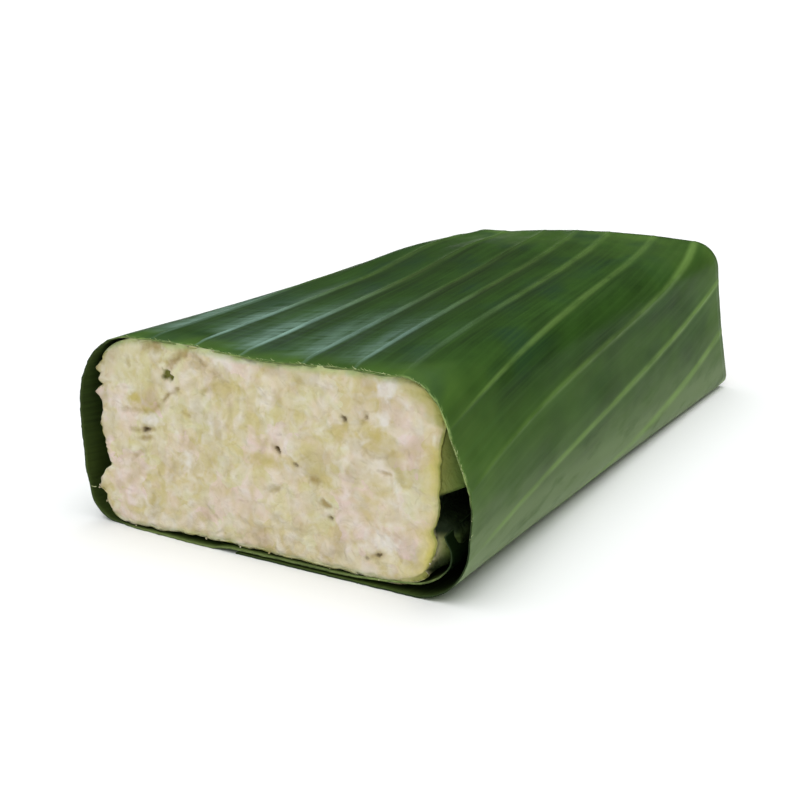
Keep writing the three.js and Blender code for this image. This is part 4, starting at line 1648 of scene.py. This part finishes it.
@dataclass
class Crumbs:
    """Crumbs of bean that cling to the lower edge of the near cut face."""

    size: float = 0.55
    count: int = 12
    highest: float = 9.0
    seed: int = 4

    def build(self, cake: TempehCake, finish: Material) -> Piece:
        """Places the crumbs and shapes them.

        Args:
            cake: the block that they broke off.
            finish: their material.

        Returns:
            The crumbs' object.
        """
        draw = np.random.default_rng(self.seed)
        edge = cake.near_edge()
        edge = edge[edge[:, 2] < self.highest]
        chosen = edge[draw.integers(0, len(edge), self.count)] + draw.uniform(-0.15, 0.15, (self.count, 3))
        values = {"size": draw.uniform(0.3, 0.8, self.count)}
        piece = Sheet(chosen, values=values).make("tempeh_crumbs")
        self.shape(finish).apply(piece)
        return piece

    def shape(self, finish: Material) -> NodeShape:
        """The tree that sets one uneven crumb on every point, each turned and stretched its own way.

        Args:
            finish: the crumbs' material.

        Returns:
            The tree.
        """
        shape = NodeShape("crumbs", {"Size": self.size, "Finish": finish})
        given, add = shape.given, shape.add
        ball = add("GeometryNodeMeshIcoSphere", add(Kind.TIMES, given["Size"], MM / 2), 3)
        uneven = shape.wander(add("GeometryNodeInputPosition"), 1 / 2.2, 2, 0.5)
        ball = add("GeometryNodeSetPosition", wires={"Geometry": ball, "Position": uneven})
        ball = add("GeometryNodeSetShadeSmooth", ball)
        turn, stretch = (
            add("FunctionNodeRandomValue", low, high, wires={"Seed": seed}, data_type="FLOAT_VECTOR")
            for seed, low, high in ((0, (0, 0, 0), (6.28, 6.28, 6.28)), (1, (0.6, 0.6, 0.5), (1.4, 1.2, 1.0)))
        )
        placed = add("GeometryNodeInstanceOnPoints", given["Geometry"], wires={
            "Instance": ball, "Rotation": add("FunctionNodeEulerToRotation", turn),
            "Scale": add(Kind.SCALE, stretch, add(Kind.READ, "size")),
        })
        return shape.close(placed, [(True, given["Finish"])])


# ---- The studio


@dataclass
class Studio:
    """A pale floor, soft light from all round and the camera."""

    yaw: float = 32.0
    pitch: float = 17.0
    roll: float = -1.3
    lens: float = 60.75
    stand: tuple[float, float, float] = (137.69, -244.47, 96.63)
    floor_half: float = 200.0  # metres
    floor_drop: float = 0.05
    sky: str = "#fbfdff"
    horizon: float = 0.06  # brightness of the dome near the horizon
    zenith: float = 2.3
    key_from: tuple[float, float, float] = (0.25, -1.0, 0.75)
    key_power: float = 0.5
    key_spread: float = 50.0

    def camera(self) -> None:
        """Adds the camera and makes it the scene's own."""
        a, e, r = map(math.radians, (self.yaw, self.pitch, self.roll))
        ahead = np.array([-math.sin(a) * math.cos(e), math.cos(a) * math.cos(e), -math.sin(e)])
        level = np.array([math.cos(a), math.sin(a), 0])
        above = np.cross(level, ahead)
        right = math.cos(r) * level + math.sin(r) * above
        up = -math.sin(r) * level + math.cos(r) * above
        data = bpy.data.cameras.new("camera")
        data.lens, data.sensor_width = self.lens, 36.0
        data.clip_start, data.clip_end = 0.01, 1000.0
        holder = bpy.data.objects.new("camera", data)
        turn = Matrix(np.stack([right, up, -ahead], 1).tolist()).to_4x4()
        holder.matrix_world = Matrix.Translation(np.array(self.stand) * MM) @ turn
        bpy.context.scene.collection.objects.link(holder)
        bpy.context.scene.camera = holder

    def floor(self) -> None:
        """Lays the floor just under the package."""
        reach = self.floor_half / MM
        ways = ((-1, -1), (1, -1), (1, 1), (-1, 1))
        corners = np.array([[reach * x, reach * y, -self.floor_drop] for x, y in ways])
        ground = Sheet(corners, np.array([[0, 1, 2, 3]])).make("floor")
        ground.data.materials.append(MattePaper().make())

    def sky_dome(self) -> None:
        """Gives the world a soft dome, bright overhead and dim at the horizon."""
        world = bpy.data.worlds.new("studio dome")
        world.use_nodes = True
        add = Wiring(world.node_tree).add
        ahead = add("ShaderNodeTexCoord", out="Generated")
        height = add("ShaderNodeSeparateXYZ", ahead, out=2)
        level = add(Kind.SMOOTH, height, 0.4, 1.0, self.zenith, self.horizon)
        # the camera itself sees plain white beyond the floor
        seen = add("ShaderNodeLightPath", out="Is Camera Ray")
        level = add("ShaderNodeMix", wires={0: seen, 2: level, 3: 1.0})
        add("ShaderNodeOutputWorld", add("ShaderNodeBackground", linear(self.sky), level))
        bpy.context.scene.world = world

    def light(self) -> None:
        """Lights the scene with the dome and one broad soft lamp from the front."""
        self.sky_dome()
        lamp = bpy.data.lights.new("key", "SUN")
        lamp.energy, lamp.angle = self.key_power, math.radians(self.key_spread)
        holder = bpy.data.objects.new("key", lamp)
        holder.rotation_mode = "QUATERNION"
        holder.rotation_quaternion = Vector(self.key_from).normalized().to_track_quat("Z", "Y")
        bpy.context.scene.collection.objects.link(holder)
        view = bpy.context.scene.view_settings
        view.view_transform = "Standard"
        view.look = "None"


def main() -> None:
    """Builds the studio and the package, and reports each piece."""
    logging.basicConfig(level=logging.INFO, format="%(name)s: %(message)s")
    studio = Studio()
    studio.camera()
    studio.floor()
    studio.light()
    leaf = BananaLeaf(WrapTrack(BananaLeaf.thickness / 2))
    cake = TempehCake()
    flesh = TempehFlesh().make()
    blade = leaf.build({
        LeafPart.UPPER: LeafBlade().make(),
        LeafPart.UNDER: LeafUnder().make(),
        LeafPart.EDGE: LeafCut().make(),
    })
    block = cake.build(flesh)
    fibres = TornFibres().build(leaf, DryFibre().make())
    crumbs = Crumbs().build(cake, flesh)
    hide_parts("banana_leaf")
    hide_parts("tempeh_cake")
    for piece, slot in ((blade, "leaf"), (fibres, "leaf"), (block, "bean_cake"), (crumbs, "bean_cake")):
        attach(piece, "root")
        LOG.info("%s: %d faces, slot %s", piece.name, len(piece.data.polygons), slot)


if __name__ == "__main__":
    main()
